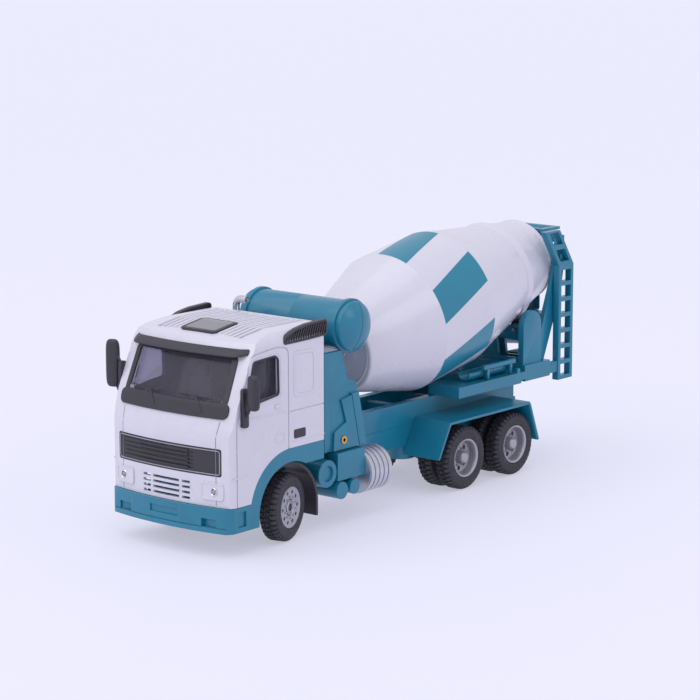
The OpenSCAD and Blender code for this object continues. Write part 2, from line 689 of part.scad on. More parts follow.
// Bent-plate mudguard over both rear axles
module rear_mudguards() color(teal) mirrored_x() side_plate(rail_x, side_x) {
    y0 = axle2_y - 9.9;
    y1 = axle3_y + 7.7;
    difference() {
        polygon([[y0 - 6.3, guard_top - 11.7], [y0, guard_top], [y1, guard_top], [y1 + 5.3, guard_top - 14.2]]);
        polygon([[y0 - 5.2, guard_top - 11.8], [y0 + 0.6, guard_top - guard_h],
            [y1 - 0.7, guard_top - guard_h], [y1 + 4.3, guard_top - 14.3]]);
    }
}

// Equipment along the left side of the chassis
module battery_box() color(teal) block(rail_x, 22, cab_y1 + 10.2, cab_y1 + 23.6, 14, 23);

module air_tanks() color(teal) {
    difference() {
        translate([rail_x, cab_y1 + 5.2, 17.4]) rotate([0, 90, 0]) cylinder(r = 4.4, h = 12);
        translate([21.2, cab_y1 + 5.2, 17.4]) rotate([0, 90, 0]) cylinder(r = 2.6, h = 2);
    }
    for (v = [[11.2, 13.3 - 2.2, 2.8], [17.4, 12.9 - 1.6, 2.4]])
        translate([14, cab_y1 + v[0], v[1]]) rotate([0, 90, 0]) cylinder(r = v[2], h = 9);
}

fuel_r = 7.3;
fuel_y0 = cab_y1 + 23.7;

module fuel_tank() color(silver) {
    translate([rail_x + fuel_r, fuel_y0, 14.3]) {
        along_y(fuel_r - 0.4, 11);
        for (y = [0.2, 2.4, 4.6, 6.8, 9]) translate([0, y, 0]) along_y(fuel_r, 1.6);
    }
}

module reservoir() color(teal)
    translate([rail_x - 4.8, axle2_y - 11.3, rail_bottom - 5]) cylinder(r = 4.7, h = 5);

// Front pedestal: two gusseted side plates, a back wall with the drum's bearing and a tank saddle
module pedestal_side() polygon([[ped_y0, rail_top + 1], [ped_y1, rail_top + 1], [ped_y1 - 4.6, rail_top + 22],
    [ped_y1 - 8.4, rail_top + 23], [ped_y1 - 11.6, tank_z - tank_r + 1], [ped_y0, tank_z - tank_r + 1]]);

module pedestal_gusset() polygon([[ped_y0 + 3.6, rail_top + 1], [ped_y1, rail_top + 1],
    [ped_y1 - 4.6, rail_top + 22],
    [ped_y1 - 12.2, rail_top + 20.4], [ped_y1 - 7, rail_top + 18], [ped_y1 - 12.4, rail_top + 17],
    [ped_y1 - 10, rail_top + 9.6], [ped_y0 + 4, rail_top + 7]]);

rivet_y = ped_y0 + 8.4;
rivet_z = rail_top + 4;

module front_pedestal() color(teal) difference() {
    union() {
        mirrored_x() side_plate(ped_x - ped_t, ped_x) pedestal_side();
        mirrored_x() side_plate(ped_x, ped_x + 0.8) pedestal_gusset();
        // Floor on the subframe, front wall and bearing wall
        block(-ped_x, ped_x, ped_y0, ped_y1 - 1.2, deck_z, deck_z + 1.6);
        block(-ped_x, ped_x, ped_y0, ped_y0 + 1.6, deck_z, tank_z - tank_r + 1);
        intersection() {
            drum_frame() translate([0, 0, bearing_s]) linear_extrude(bearing_t) {
                circle(journal_d / 2 + 2.4);
                translate([-8, -1.2 * drum_z]) square([16, 1.2 * drum_z + 1]);
            }
            block(-ped_x, ped_x, ped_y0, drum_y, deck_z, cab_top);
        }
    }
    translate([0, tank_y, tank_z]) along_x(tank_r + 0.1, cab_w);
    drum_frame() translate([0, 0, bearing_s - 1]) cylinder(d = journal_d + 2 * run_gap, h = bearing_t + 8);
    mirrored_x() translate([ped_x, rivet_y, rivet_z]) along_x(1, 8);
}

module pedestal_rivets() color([0.72, 0.55, 0.25]) mirrored_x()
    translate([ped_x - ped_t - 0.4, rivet_y, rivet_z]) rotate([0, 90, 0]) difference() {
        union() {
            cylinder(r = 0.98, h = 3.1, $fn = 32);
            translate([0, 0, 2.9 - 0.1]) cylinder(r = 1.35, h = 0.4, $fn = 32);
        }
        translate([0, 0, -1]) cylinder(r = 0.55, h = 6, $fn = 32);
    }

// Water tank: barrel, two flange rings and shallow domed ends
dome_h = 3;
dome_r = (pow(tank_r - 0.4, 2) + pow(dome_h, 2)) / (2 * dome_h);

module tank_half() {
    square([tank_r, tank_l / 2 - dome_h - 1.6]);
    translate([0, tank_l / 2 - dome_h - 3.2]) square([tank_r + 0.5, 1.6]);
    square([tank_r - 0.4, tank_l / 2 - dome_h]);
    polygon(concat([[0, tank_l / 2 - dome_h - 0.1], [tank_r - 0.4, tank_l / 2 - dome_h - 0.1]],
        [for (j = [dome_steps:-1:0]) let (a = j * dome_a / dome_steps)
            [dome_r * sin(a), tank_l / 2 - dome_r + dome_r * cos(a)]]));
}

dome_a = asin((tank_r - 0.4) / dome_r);
dome_steps = 10;

module water_tank() color(teal) translate([0, tank_y, tank_z]) rotate([0, 90, 0]) rotate_extrude($fn = 96) {
    tank_half();
    mirror([0, 1]) tank_half();
}

pipe_r = 1.2;
pipe_x = -15.4;
pipe_y = cab_y1 + 4.3;
bend_r = 2.4;
foot_z = rail_bottom + 3.5;
pipe_top = tank_z + tank_r - 1;

// Quarter bend from the +Z direction into +X, starting at the origin
module pipe_bend() rotate([90, 0, 0]) mirror([1, 0, 0]) translate([-bend_r, 0, 0])
    rotate_extrude(angle = 90) translate([bend_r, 0]) circle(pipe_r, $fn = 32);

module exhaust_pipe() color(silver) {
    translate([pipe_x, pipe_y, foot_z + bend_r])
        cylinder(r = pipe_r, h = pipe_top - foot_z - 2 * bend_r, $fn = 32);
    translate([pipe_x, pipe_y, pipe_top - bend_r]) pipe_bend();
    translate([pipe_x + bend_r, pipe_y, pipe_top]) rotate([0, 90, 0]) difference() {
        cylinder(r = pipe_r, h = 2.4, $fn = 32);
        translate([0, 0, 0.6]) cylinder(r = pipe_r - 0.4, h = 3, $fn = 32);
    }
    translate([pipe_x, pipe_y, foot_z + bend_r]) mirror([0, 0, 1]) pipe_bend();
    translate([pipe_x + bend_r, pipe_y, foot_z]) rotate([0, 90, 0])
        cylinder(r = pipe_r, h = -rail_x - 1.6 - pipe_x - bend_r, $fn = 32);
}

// Mixing drum, drawn as (radius, distance along the axis) and revolved
s1 = front_cone_l;
s2 = s1 + belly_l;

module drum_profile() polygon([[drum_front_r - 1.6, 0], [drum_front_r - 0.2, 0.4], [drum_front_r, 1],
    [drum_r, s1], [drum_r, s2], [drum_r - 2.2, s2 + 10], [drum_mouth_r, drum_l],
    [drum_mouth_r - drum_wall, drum_l],
    [drum_r - 2.2 - drum_wall, s2 + 10], [drum_r - drum_wall, s2], [drum_r - drum_wall, s1],
    [drum_front_r - drum_wall, 3.4], [0, 3.4], [0, 0.8], [drum_front_r - 2.4, 0.8]]);

function rear_cone_r(s) = drum_r - 2.2 - (drum_r - 2.2 - drum_mouth_r) * (s - s2 - 10) / (rear_cone_l - 10);

module drum() color(white) drum_frame() {
    rotate_extrude($fn = 120) drum_profile();
    // Running track, mouth ring and front journal
    rotate_extrude($fn = 120) translate([0, track_s - track_w / 2])
        translate([rear_cone_r(track_s) - 0.8, 0]) square([track_r - rear_cone_r(track_s) + 0.8, track_w]);
    rotate_extrude($fn = 120) translate([0, drum_l - 1.6])
        translate([drum_mouth_r - 0.6, 0]) square([1.2, 1.6]);
    translate([0, 0, bearing_s + 0.4]) cylinder(d = journal_d, h = 1.4 - bearing_s);
}

// Rear pedestal: base, two outer posts and two cheeks that carry the rollers
module cheek(s) drum_frame() translate([0, 0, s]) linear_extrude(cheek_t) difference() {
    translate([-post_x0 - 0.2, -drum_r - 8]) square([2 * post_x0 + 0.4, 16]);
    circle(track_r + 1, $fn = 120);
    mirrored_2d() rotate(roller_angle) translate([0, -roller_axis]) circle(pin_d / 2 + 0.02);
}

module mirrored_2d() {
    children();
    mirror([1, 0]) children();
}

module rear_pedestal() color(teal) {
    block(-base_x, base_x, base_y0, base_y1, deck_z, deck_z + base_t);
    mirrored_x() side_plate(post_x0, post_x0 + post_t) union() {
        translate([post_y - post_w / 2, deck_z]) square([post_w, post_top - deck_z - post_w / 2]);
        translate([post_y, post_top - post_w / 2]) circle(post_w / 2);
    }
    intersection() {
        union() {
            cheek(cheek_s0);
            cheek(cheek_s1);
        }
        difference() {
            block(-cab_w, cab_w, base_y0, base_y1, deck_z + base_t - 1, cab_top);
            mirrored_x() block(3, post_x0 - 1.6, base_y0 - 1, base_y1 + 1,
                deck_z + base_t + 0.8, deck_z + 13);
        }
    }
    // Struts up to the filling hopper
    mirrored_x() side_plate(strut_x, strut_x + strut_t) polygon([[base_y1 - 6.6, deck_z + base_t - 1],
        [base_y1 - 0.6, deck_z + base_t - 1], [hopper_y0 + 3.2, hopper_z - 22], [hopper_y0 + 5, hopper_z - 12],
        [hopper_y0 + 5, hopper_z - 2], [hopper_y0 + 1.6, hopper_z - 2], [hopper_y0 - 0.6, hopper_z - 12],
        [hopper_y0 - 2.8, hopper_z - 20]]);
}

module roller() color(dark) difference() {
    cylinder(r = roller_r, h = roller_w, center = true);
    cylinder(d = pin_d + 2 * run_gap, h = 2 * roller_w, center = true);
}

module at_roller(s) drum_frame() rotate([0, 0, s * roller_angle])
    translate([0, -roller_axis, track_s]) children();

module roller_left() at_roller(1) roller();
module roller_right() at_roller(-1) roller();
module roller_pins() color(silver) for (s = [-1, 1]) at_roller(s)
    cylinder(d = pin_d, h = roller_w + 2 * free_gap + 2 * cheek_t + 0.8, center = true);

// Walkway plates beside the drum, above the rear mudguards
platform_y0 = axle2_y + 1;
platform_z = deck_z + 3.8;
platform_y1 = base_y0 - 3;

module platform() color(teal) {
    difference() {
        block(rail_x - flange_w, base_x + 0.8, platform_y0, platform_y1, deck_z, platform_z);
        block(rail_x - flange_w - 1, base_x - 0.4, platform_y0 + 1.2, platform_y1 + 1,
            deck_z - 1, platform_z - 1);
    }
    block(rail_x - flange_w, rail_x, platform_y0, platform_y1, deck_z, platform_z - 0.5);
    // Hooked rear end against the base
    block(base_x - 2, base_x + 0.8, platform_y1 - 1, base_y0, platform_z - 2.8, platform_z);
    block(base_x - 0.6, base_x + 0.8, platform_y1 - 2.4, platform_y1 - 0.8,
        platform_z - 0.1, platform_z + 1.6);
}

module platform_left() platform();
module platform_right() mirror([1, 0, 0]) platform();

// Rack on the walkway that holds a spare chute length
module chute_rack() color(teal) {
    for (y = [platform_y1 - 18, platform_y1 - 5])
        block(base_x - 1.6, base_x - 0.4, y, y + 1.2, platform_z, platform_z + 3.6);
    block(base_x - 1.8, base_x - 0.2, platform_y1 - 20, platform_y1 - 2, platform_z + 3.6, platform_z + 5);
    translate([base_x - 4.6, platform_y1 - 26, platform_z + 2.6]) rotate([-90, 0, 0]) difference() {
        cylinder(r = 2.6, h = 22);
        translate([0, 0, -1]) cylinder(r = 1.9, h = 24);
        translate([-4, -5, -1]) cube([8, 4.6, 24]);
    }
}

// Ladder at the left rear: upright part and a top part that leans forwards
module ladder_panel(l, n, pitch, first) difference() {
    square([ladder_w, l]);
    for (k = [0:n - 1]) translate([1.5, first + k * pitch]) square([ladder_w - 3, pitch - 1.5]);
}

lean = 33;
lean_l = (hopper_z - bend_z) / cos(lean) + 1;

module ladder() color(teal) {
    side_plate(ladder_x - ladder_t / 2, ladder_x + ladder_t / 2) {
        translate([ladder_y0, ladder_z0]) ladder_panel(bend_z - ladder_z0, rungs, rung_pitch, 1.4);
        difference() {
            polygon([[ladder_y0, bend_z - 0.01], [ladder_y1, bend_z - 0.01],
                [ladder_y1 - lean_l * sin(lean), hopper_z + 0.6],
                [ladder_y0 - lean_l * sin(lean), hopper_z + 0.6]]);
            for (k = [0, 1]) {
                z0 = bend_z + 1.4 + 6.2 * k;
                z1 = z0 + 4.4;
                ya = (z0 - bend_z) * tan(lean);
                yb = (z1 - bend_z) * tan(lean);
                polygon([[ladder_y0 + 1.6 - ya, z0], [ladder_y1 - 1.6 - ya, z0], [ladder_y1 - 1.6 - yb, z1],
                    [ladder_y0 + 1.6 - yb, z1]]);
            }
        }
    }
    // Brackets to the base and to the strut
    block(base_x - 1.8, base_x - 0.2, base_y1, ladder_y0 + 1, deck_z + 0.6, deck_z + 4.4);
    block(strut_x + strut_t, ladder_x - ladder_t / 2 + 0.1, hopper_y0 + 1.8, hopper_y0 + 4.6,
        hopper_z - 11, hopper_z - 8.4);
}

// Filling hopper: an open funnel behind and above the drum's mouth
module funnel(x_top, y0, y1, x_low, y_low0, y_low1, z0, z1) hull() {
    block(-x_top, x_top, y0, y1, z1 - 0.02, z1);
    block(-x_low, x_low, y_low0, y_low1, z0, z0 + 0.02);
}

module filling_hopper() color(teal) difference() {
    union() {
        funnel(hopper_x - 1, hopper_y0 + 1, hopper_y1 - 1, 5, hopper_y0 - 2, hopper_y0 + 2,
            hopper_z - 9.2, hopper_z - 0.6);
        block(-hopper_x, hopper_x, hopper_y0, hopper_y1, hopper_z - 1, hopper_z);
        mirrored_x() block(hopper_x - 2.6, strut_x, hopper_y0 + 1.8, hopper_y0 + 4.6,
            hopper_z - 4.4, hopper_z - 1);
    }
    funnel(hopper_x - 2, hopper_y0 + 2, hopper_y1 - 2, 4, hopper_y0 - 1, hopper_y0 + 1,
        hopper_z - 9.3, hopper_z + 0.1);
}

// Collector: a bowl under the mouth's lip with a raised back, above the chute
collector_y = tail_y - 6.6;
collector_r = 6.2;
collector_z0 = chute_z + 1.8;
collector_z1 = collector_z0 + 5.6;

module collector() color(teal) {
    h = collector_z1 - collector_z0;
    translate([0, collector_y, collector_z0]) difference() {
        rotate_extrude() polygon([[2.9, 0], [3.8, 0], [collector_r, h], [collector_r, h + 8.5],
            [collector_r - 0.9, h + 8.5], [collector_r - 0.9, h]]);
        translate([-2 * collector_r, 2.4 - 3 * collector_r, h - 0.3]) cube([4 * collector_r, 3 * collector_r, 12]);
    }
    // Ears on the struts
    mirrored_x() block(collector_r - 0.6, strut_x, collector_y - 6, collector_y + 0.4,
        collector_z1 - 2, collector_z1 - 0.4);
}

// Discharge chute on its vertical pin, stowed across the tail towards the right
module chute() color(teal) difference() {
    union() {
        translate([chute_x, chute_y, chute_z - 6.9]) cylinder(r = 2, h = 3.9);
        translate([chute_x + 4, chute_y, chute_z]) rotate([0, -96, 0]) difference() {
            cylinder(r = chute_r, h = chute_l);
            translate([0, 0, -1]) cylinder(r = chute_r - 0.9, h = chute_l + 2);
            translate([0.6, -10, -1]) cube([10, 20, chute_l + 2]);
        }
    }
    translate([chute_x, chute_y, chute_z - 8]) cylinder(d = 1.6 + 2 * run_gap, h = 6);
}

module chute_pin() color(silver) {
    translate([chute_x, chute_y, chute_z - 8]) cylinder(d = 1.6, h = 3.6, $fn = 32);
    block(chute_x - 2.6, chute_x + 2.6, base_y1, chute_y + 2.6, chute_z - 8.6, chute_z - 7);
}

// Cross-head screws that close the chassis
module screws() color(silver) for (y = frame_screws) translate([0, y, screw_z]) difference() {
    cylinder(r = screw_r, h = screw_h);
    for (a = [0, 90]) rotate([0, 0, a]) translate([-1, -0.2, -1]) cube([2, 0.4, 1.5]);
}

chassis_frame();
subframe();
axle_hangers();
front_axle_beam();
knuckle_left();
knuckle_right();
tie_rod();
front_rim_left();
front_tyre_left();
front_rim_right();
front_tyre_right();
rear_axle_1();
rear_rims_1();
rear_tyres_1();
rear_axle_2();
rear_rims_2();
rear_tyres_2();
cab_shell();
glazing();
cab_interior();
steering_wheel();
sun_visor();
scuttle_panel();
grille();
headlamp_jewels();
roof_hatch();
side_louvres();
mirror_left();
mirror_right();
bumper_moulding();
front_mudguards();
rear_mudguards();
battery_box();
air_tanks();
fuel_tank();
reservoir();
front_pedestal();
pedestal_rivets();
water_tank();
exhaust_pipe();
drum();
rear_pedestal();
roller_left();
roller_right();
roller_pins();
platform_left();
platform_right();
chute_rack();
ladder();
filling_hopper();
collector();
chute();
chute_pin();
screws();
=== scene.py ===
import json
import math

import bmesh
import bpy
from mathutils import Matrix, Vector

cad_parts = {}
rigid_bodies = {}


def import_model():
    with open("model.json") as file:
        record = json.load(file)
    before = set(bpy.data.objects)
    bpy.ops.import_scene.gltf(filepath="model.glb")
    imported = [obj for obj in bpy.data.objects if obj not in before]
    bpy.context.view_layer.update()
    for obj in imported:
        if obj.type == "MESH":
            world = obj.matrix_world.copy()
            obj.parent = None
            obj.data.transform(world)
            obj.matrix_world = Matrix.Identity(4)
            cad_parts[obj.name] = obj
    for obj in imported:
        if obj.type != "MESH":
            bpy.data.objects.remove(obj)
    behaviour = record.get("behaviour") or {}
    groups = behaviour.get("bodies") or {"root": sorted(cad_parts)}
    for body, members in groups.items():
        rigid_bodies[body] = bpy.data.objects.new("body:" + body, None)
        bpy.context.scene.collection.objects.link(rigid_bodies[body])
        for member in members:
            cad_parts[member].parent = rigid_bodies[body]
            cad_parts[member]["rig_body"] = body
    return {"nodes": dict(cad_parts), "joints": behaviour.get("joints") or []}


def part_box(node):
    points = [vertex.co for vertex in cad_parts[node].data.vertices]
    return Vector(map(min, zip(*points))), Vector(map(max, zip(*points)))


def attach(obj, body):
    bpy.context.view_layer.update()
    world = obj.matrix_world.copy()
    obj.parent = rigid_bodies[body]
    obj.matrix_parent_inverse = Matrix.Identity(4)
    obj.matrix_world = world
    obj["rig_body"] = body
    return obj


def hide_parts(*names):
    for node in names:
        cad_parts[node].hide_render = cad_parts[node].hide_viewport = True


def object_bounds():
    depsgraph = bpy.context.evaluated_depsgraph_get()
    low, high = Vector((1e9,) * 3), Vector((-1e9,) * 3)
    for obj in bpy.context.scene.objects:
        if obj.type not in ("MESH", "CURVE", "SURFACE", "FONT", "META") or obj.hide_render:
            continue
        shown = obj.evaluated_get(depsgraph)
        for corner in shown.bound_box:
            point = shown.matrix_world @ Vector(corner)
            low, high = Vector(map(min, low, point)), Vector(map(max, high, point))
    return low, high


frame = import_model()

CAD_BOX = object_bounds()
MM = 0.001
UP = Vector((0, 0, 1))
JOINTS = {j["name"]: j for j in frame["joints"]}
collection = bpy.context.scene.collection


# ---------------------------------------------------------------- sizes, all read from the frame, in mm
def low(node):
    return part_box(node)[0] / MM


def high(node):
    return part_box(node)[1] / MM


def joint_pos(name):
    return Vector(JOINTS[name]["pos_m"]) / MM


# Outline of the lorry, and its axles
SIDE_X = high("bumper_moulding").x
NOSE_Y = low("bumper_moulding").y
CAB_Y0 = low("cab_shell").y
CAB_Y1 = high("side_louvres").y - 1.6
CAB_BOTTOM = low("cab_shell").z
CAB_TOP = high("cab_shell").z - 0.3
AXLE2_Y = joint_pos("spin_rear_1").y
AXLE3_Y = joint_pos("spin_rear_2").y
TYRE_R = joint_pos("spin_rear_1").z
# Cab front: the radius that it is bowed to, and its heights
BOW = 120.0
SILL_Z = CAB_BOTTOM + 26.6
BELT_Z = SILL_Z - 0.9
SCREEN_Z0 = SILL_Z + 4
SCREEN_Z1 = CAB_TOP - 6.4
LAMP_X = SIDE_X - 6.1
LAMP_Z = CAB_BOTTOM + 4.8


# ---------------------------------------------------------------- materials
def colour(r, g, b):
    """sRGB 0-255 to a linear colour"""
    def lin(c):
        c /= 255
        return c / 12.92 if c <= 0.04045 else ((c + 0.055) / 1.055) ** 2.4
    return (lin(r), lin(g), lin(b), 1)


PLASTIC_IOR, CLEAR_IOR = 1.47, 1.3
DUST_MM = 1.3
SKIN_DEPTH = 0.05 * MM


def moulded(name, base, rough=0.3, shade=0.05, metallic=0.0, grain=0.04, grain_mm=0.35, cloud_mm=9,
            rough_span=0.08, coat=0.0, dust=None, stretch=(1, 1, 1)):
    """Moulded, cast or turned surface: cloudy colour, uneven gloss and a fine skin"""
    mat = bpy.data.materials.new(name)
    mat.use_nodes = True
    nodes, links = mat.node_tree.nodes, mat.node_tree.links
    surface = nodes["Principled BSDF"]
    surface.inputs["Metallic"].default_value = metallic
    surface.inputs["IOR"].default_value = PLASTIC_IOR
    if coat:
        surface.inputs["Coat Weight"].default_value = coat
        surface.inputs["Coat Roughness"].default_value = 0.12
    place = nodes.new("ShaderNodeTexCoord")
    scaled = nodes.new("ShaderNodeMapping")
    scaled.inputs["Scale"].default_value = stretch
    links.new(place.outputs["Object"], scaled.inputs["Vector"])
    cloud = nodes.new("ShaderNodeTexNoise")
    cloud.inputs["Scale"].default_value = 1000 / cloud_mm
    cloud.inputs["Detail"].default_value = 4
    skin = nodes.new("ShaderNodeTexNoise")
    skin.inputs["Scale"].default_value = 1000 / grain_mm
    skin.inputs["Detail"].default_value = 2
    for n in (cloud, skin):
        links.new(scaled.outputs["Vector"], n.inputs["Vector"])
    tint = nodes.new("ShaderNodeValToRGB")
    tint.color_ramp.elements[0].position = 0.3
    tint.color_ramp.elements[1].position = 0.7
    tint.color_ramp.elements[0].color = tuple(c * (1 - shade) for c in base[:3]) + (1,)
    tint.color_ramp.elements[1].color = tuple(min(1, c * (1 + shade)) for c in base[:3]) + (1,)
    links.new(cloud.outputs["Fac"], tint.inputs["Fac"])
    last = tint.outputs["Color"]
    if dust:
        spots = nodes.new("ShaderNodeTexNoise")
        spots.inputs["Scale"].default_value = 1000 / DUST_MM
        spots.inputs["Detail"].default_value = 5
        links.new(place.outputs["Object"], spots.inputs["Vector"])
        mask = nodes.new("ShaderNodeValToRGB")
        mask.color_ramp.elements[0].position = 0.5
        mask.color_ramp.elements[1].position = 0.78
        links.new(spots.outputs["Fac"], mask.inputs["Fac"])
        mix = nodes.new("ShaderNodeMix")
        mix.data_type = "RGBA"
        links.new(mask.outputs["Color"], mix.inputs["Factor"])
        links.new(last, mix.inputs["A"])
        mix.inputs["B"].default_value = dust
        last = mix.outputs["Result"]
    links.new(last, surface.inputs["Base Color"])
    gloss = nodes.new("ShaderNodeMapRange")
    gloss.inputs["To Min"].default_value = rough - rough_span
    gloss.inputs["To Max"].default_value = rough + rough_span
    links.new(cloud.outputs["Fac"], gloss.inputs["Value"])
    links.new(gloss.outputs["Result"], surface.inputs["Roughness"])
    bump = nodes.new("ShaderNodeBump")
    bump.inputs["Strength"].default_value = grain
    bump.inputs["Distance"].default_value = SKIN_DEPTH
    links.new(skin.outputs["Fac"], bump.inputs["Height"])
    links.new(bump.outputs["Normal"], surface.inputs["Normal"])
    return mat


def clear(name, base):
    """Clear moulded plastic with faint smears in its gloss"""
    mat = moulded(name, base, rough=0.05, shade=0.03, rough_span=0.02, grain=0.01, cloud_mm=6)
    surface = mat.node_tree.nodes["Principled BSDF"]
    surface.inputs["Transmission Weight"].default_value = 0.94
    surface.inputs["IOR"].default_value = CLEAR_IOR
    return mat


TEAL = moulded("teal_moulded_plastic", colour(14, 117, 146), rough=0.36, shade=0.06, coat=0.35, grain=0.05)
WHITE = moulded("white_moulded_plastic", colour(208, 206, 218), rough=0.28, shade=0.015, coat=0.45)
FIELD = moulded("teal_paint", colour(22, 124, 150), rough=0.34, shade=0.03, coat=0.2, grain=0.06,
                grain_mm=0.25)
DARK = moulded("dark_grey_plastic", colour(52, 50, 58), rough=0.42, shade=0.07, grain=0.1, grain_mm=0.3)
RUBBER = moulded("tyre_rubber", colour(48, 46, 54), rough=0.62, shade=0.12, grain=0.16, grain_mm=0.3,
                 dust=colour(68, 66, 76))
SILVER = moulded("silver_plastic", colour(170, 170, 178), rough=0.36, shade=0.05, metallic=0.75, grain=0.06)
CHROME = moulded("chrome_plating", colour(222, 222, 228), rough=0.12, shade=0.03, metallic=1.0,
                 rough_span=0.05, grain=0.02)
SATIN = moulded("satin_chrome", colour(198, 199, 208), rough=0.32, shade=0.05, metallic=0.85, grain=0.05)
STEEL = moulded("turned_steel", colour(165, 165, 172), rough=0.3, shade=0.06, metallic=1.0, grain=0.12,
                stretch=(0.15, 1, 1))
BRASS = moulded("brass", colour(205, 165, 88), rough=0.22, shade=0.07, metallic=1.0, grain=0.05)
INSIDE = moulded("grey_cab_plastic", colour(158, 154, 170), rough=0.5, shade=0.08, grain=0.15, grain_mm=0.4)
SEAM = moulded("shaded_seam", colour(128, 125, 144), rough=0.6, shade=0.1, grain=0.05)
PANE = moulded("smoked_pane", colour(104, 101, 114), rough=0.12, shade=0.04, coat=0.5, grain=0.02)
GLASS = clear("clear_plastic", colour(190, 188, 204))
JEWEL = moulded("lamp_lens", colour(150, 148, 160), rough=0.14, shade=0.12, metallic=0.5, coat=0.6,
                cloud_mm=0.8)


# ---------------------------------------------------------------- mesh helpers
def mesh_from(bm, name):
    mesh = bpy.data.meshes.new(name)
    bm.to_mesh(mesh)
    bm.free()
    return mesh


def set_smooth(mesh, angle):
    """Shades a mesh smooth, apart from edges sharper than the angle"""
    mesh.polygons.foreach_set("use_smooth", [True] * len(mesh.polygons))
    mesh.set_sharp_from_angle(angle=math.radians(angle))


def join_rings(bm, rings, closed=True, wrap=False, capped=False):
    """Faces between rings of vertices: closed joins each ring's ends, and wrap the last ring to the first"""
    m = len(rings[0])
    for a, b in zip(rings, rings[1:] + rings[:1] if wrap else rings[1:]):
        for k in range(m if closed else m - 1):
            bm.faces.new((a[k], a[(k + 1) % m], b[(k + 1) % m], b[k]))
    if capped:
        bm.faces.new(rings[0])
        bm.faces.new(rings[-1][::-1])


def to_object(name, bm, material, body, smooth=35, merge=True):
    """Makes a piece of a bmesh, with its materials, and says which body it rides"""
    if merge:
        bmesh.ops.remove_doubles(bm, verts=bm.verts, dist=1e-6)
    bmesh.ops.recalc_face_normals(bm, faces=bm.faces)
    mesh = mesh_from(bm, name)
    for m in material if isinstance(material, (list, tuple)) else [material]:
        mesh.materials.append(m)
    set_smooth(mesh, smooth)
    obj = bpy.data.objects.new(name, mesh)
    collection.objects.link(obj)
    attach(obj, body)
    return obj


def rounded(obj, width_mm, segments=2, angle=32):
    """Rounds every real edge, as a mould does"""
    bevel = obj.modifiers.new("rounded_edges", "BEVEL")
    bevel.width = width_mm * MM
    bevel.segments = segments
    bevel.limit_method = "ANGLE"
    bevel.angle_limit = math.radians(angle)
    bevel.harden_normals = True
    bevel.miter_outer = "MITER_ARC"
    return obj


def source_mesh(node, joined=False, corner=0.0):
    """A clean copy of a CAD node: doubles merged, its flat areas joined, its front corners rounded"""
    bm = bmesh.new()
    bm.from_mesh(frame["nodes"][node].data)
    bmesh.ops.remove_doubles(bm, verts=bm.verts, dist=2e-6)
    if joined:
        bmesh.ops.dissolve_limit(bm, angle_limit=math.radians(0.6), use_dissolve_boundaries=False,
                                 verts=bm.verts, edges=bm.edges)
    if corner:
        def on_corner(v):
            x, y, z = v.co / MM
            front = (CAB_Y0 if z > CAB_BOTTOM - 0.05 else NOSE_Y) + front_back(z) + drop(SIDE_X)
            return abs(x) > SIDE_X - 0.02 and abs(y - front) < 0.35
        edges = [e for e in bm.edges if all(on_corner(v) for v in e.verts)
                 and len(e.link_faces) == 2 and e.calc_face_angle(0) > math.radians(40)]
        bmesh.ops.bevel(bm, geom=edges, offset=corner * MM, segments=4, profile=0.5, affect="EDGES",
                        clamp_overlap=True)
    return bm


def cut(obj, cutters):
    """Takes the cutters out of a piece"""
    for c in cutters:
        mod = obj.modifiers.new("cut", "BOOLEAN")
        mod.operation = "DIFFERENCE"
        mod.solver = "EXACT"
        mod.object = c
    bpy.context.view_layer.update()
    graph = bpy.context.evaluated_depsgraph_get()
    mesh = bpy.data.meshes.new_from_object(obj.evaluated_get(graph))
    obj.modifiers.clear()
    obj.data = mesh
    for c in cutters:
        bpy.data.objects.remove(c)
    set_smooth(mesh, 35)
    return obj


def finished(node, material, edge=0.12, segments=2, cutters=(), smooth=35, joined=False, corner=0.0):
    """Stands for a CAD node: the same solid with rounded edges"""
    obj = to_object(node + "_moulded", source_mesh(node, joined, corner), material,
                    frame["nodes"][node]["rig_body"], smooth, merge=False)
    if cutters:
        cut(obj, cutters)
    if edge:
        rounded(obj, edge, segments)
    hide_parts(node)
    return obj


def drop(x):
    """How far the bow sets the front back at a place across it"""
    return BOW - math.sqrt(BOW ** 2 - x ** 2)


def front_back(z):
    """How far the cab's front lies behind its lowest edge at a height"""
    steps = [(CAB_BOTTOM, 0), (SILL_Z - 5, 0), (SILL_Z, 1.6), (SCREEN_Z0, 2.8), (SCREEN_Z1, 9),
             (CAB_TOP - 2.6, 11.6), (CAB_TOP - 1.4, 15), (CAB_TOP, 24)]
    for (za, ya), (zb, yb) in zip(steps, steps[1:]):
        if z <= zb:
            return ya + (yb - ya) * max(0, z - za) / (zb - za)
    return steps[-1][1]


def on_front(u, v, w):
    """(across, height, proud) on the bowed cab front"""
    return Vector((u, CAB_Y0 + front_back(v) + drop(u) - w, v)) * MM


def on_bumper(u, v, w):
    """(across, height, proud) on the bowed bumper"""
    return Vector((u, NOSE_Y + drop(u) - w, v)) * MM


def on_left(u, v, w):
    """(along, height, proud) on the lorry's left side"""
    return Vector((SIDE_X + w, u, v)) * MM


def on_right(u, v, w):
    """(along, height, proud) on the lorry's right side"""
    return Vector((-SIDE_X - w, u, v)) * MM


SIDES = ((1, "left"), (-1, "right"))
FLANKS = ((on_left, "left"), (on_right, "right"))


def facing_front(u, v, w):
    """Turns local X to point out of the cab's front at (across, height, proud)"""
    return Matrix.Translation(on_front(u, v, w)) @ Matrix.Rotation(-math.pi / 2, 4, "Z")


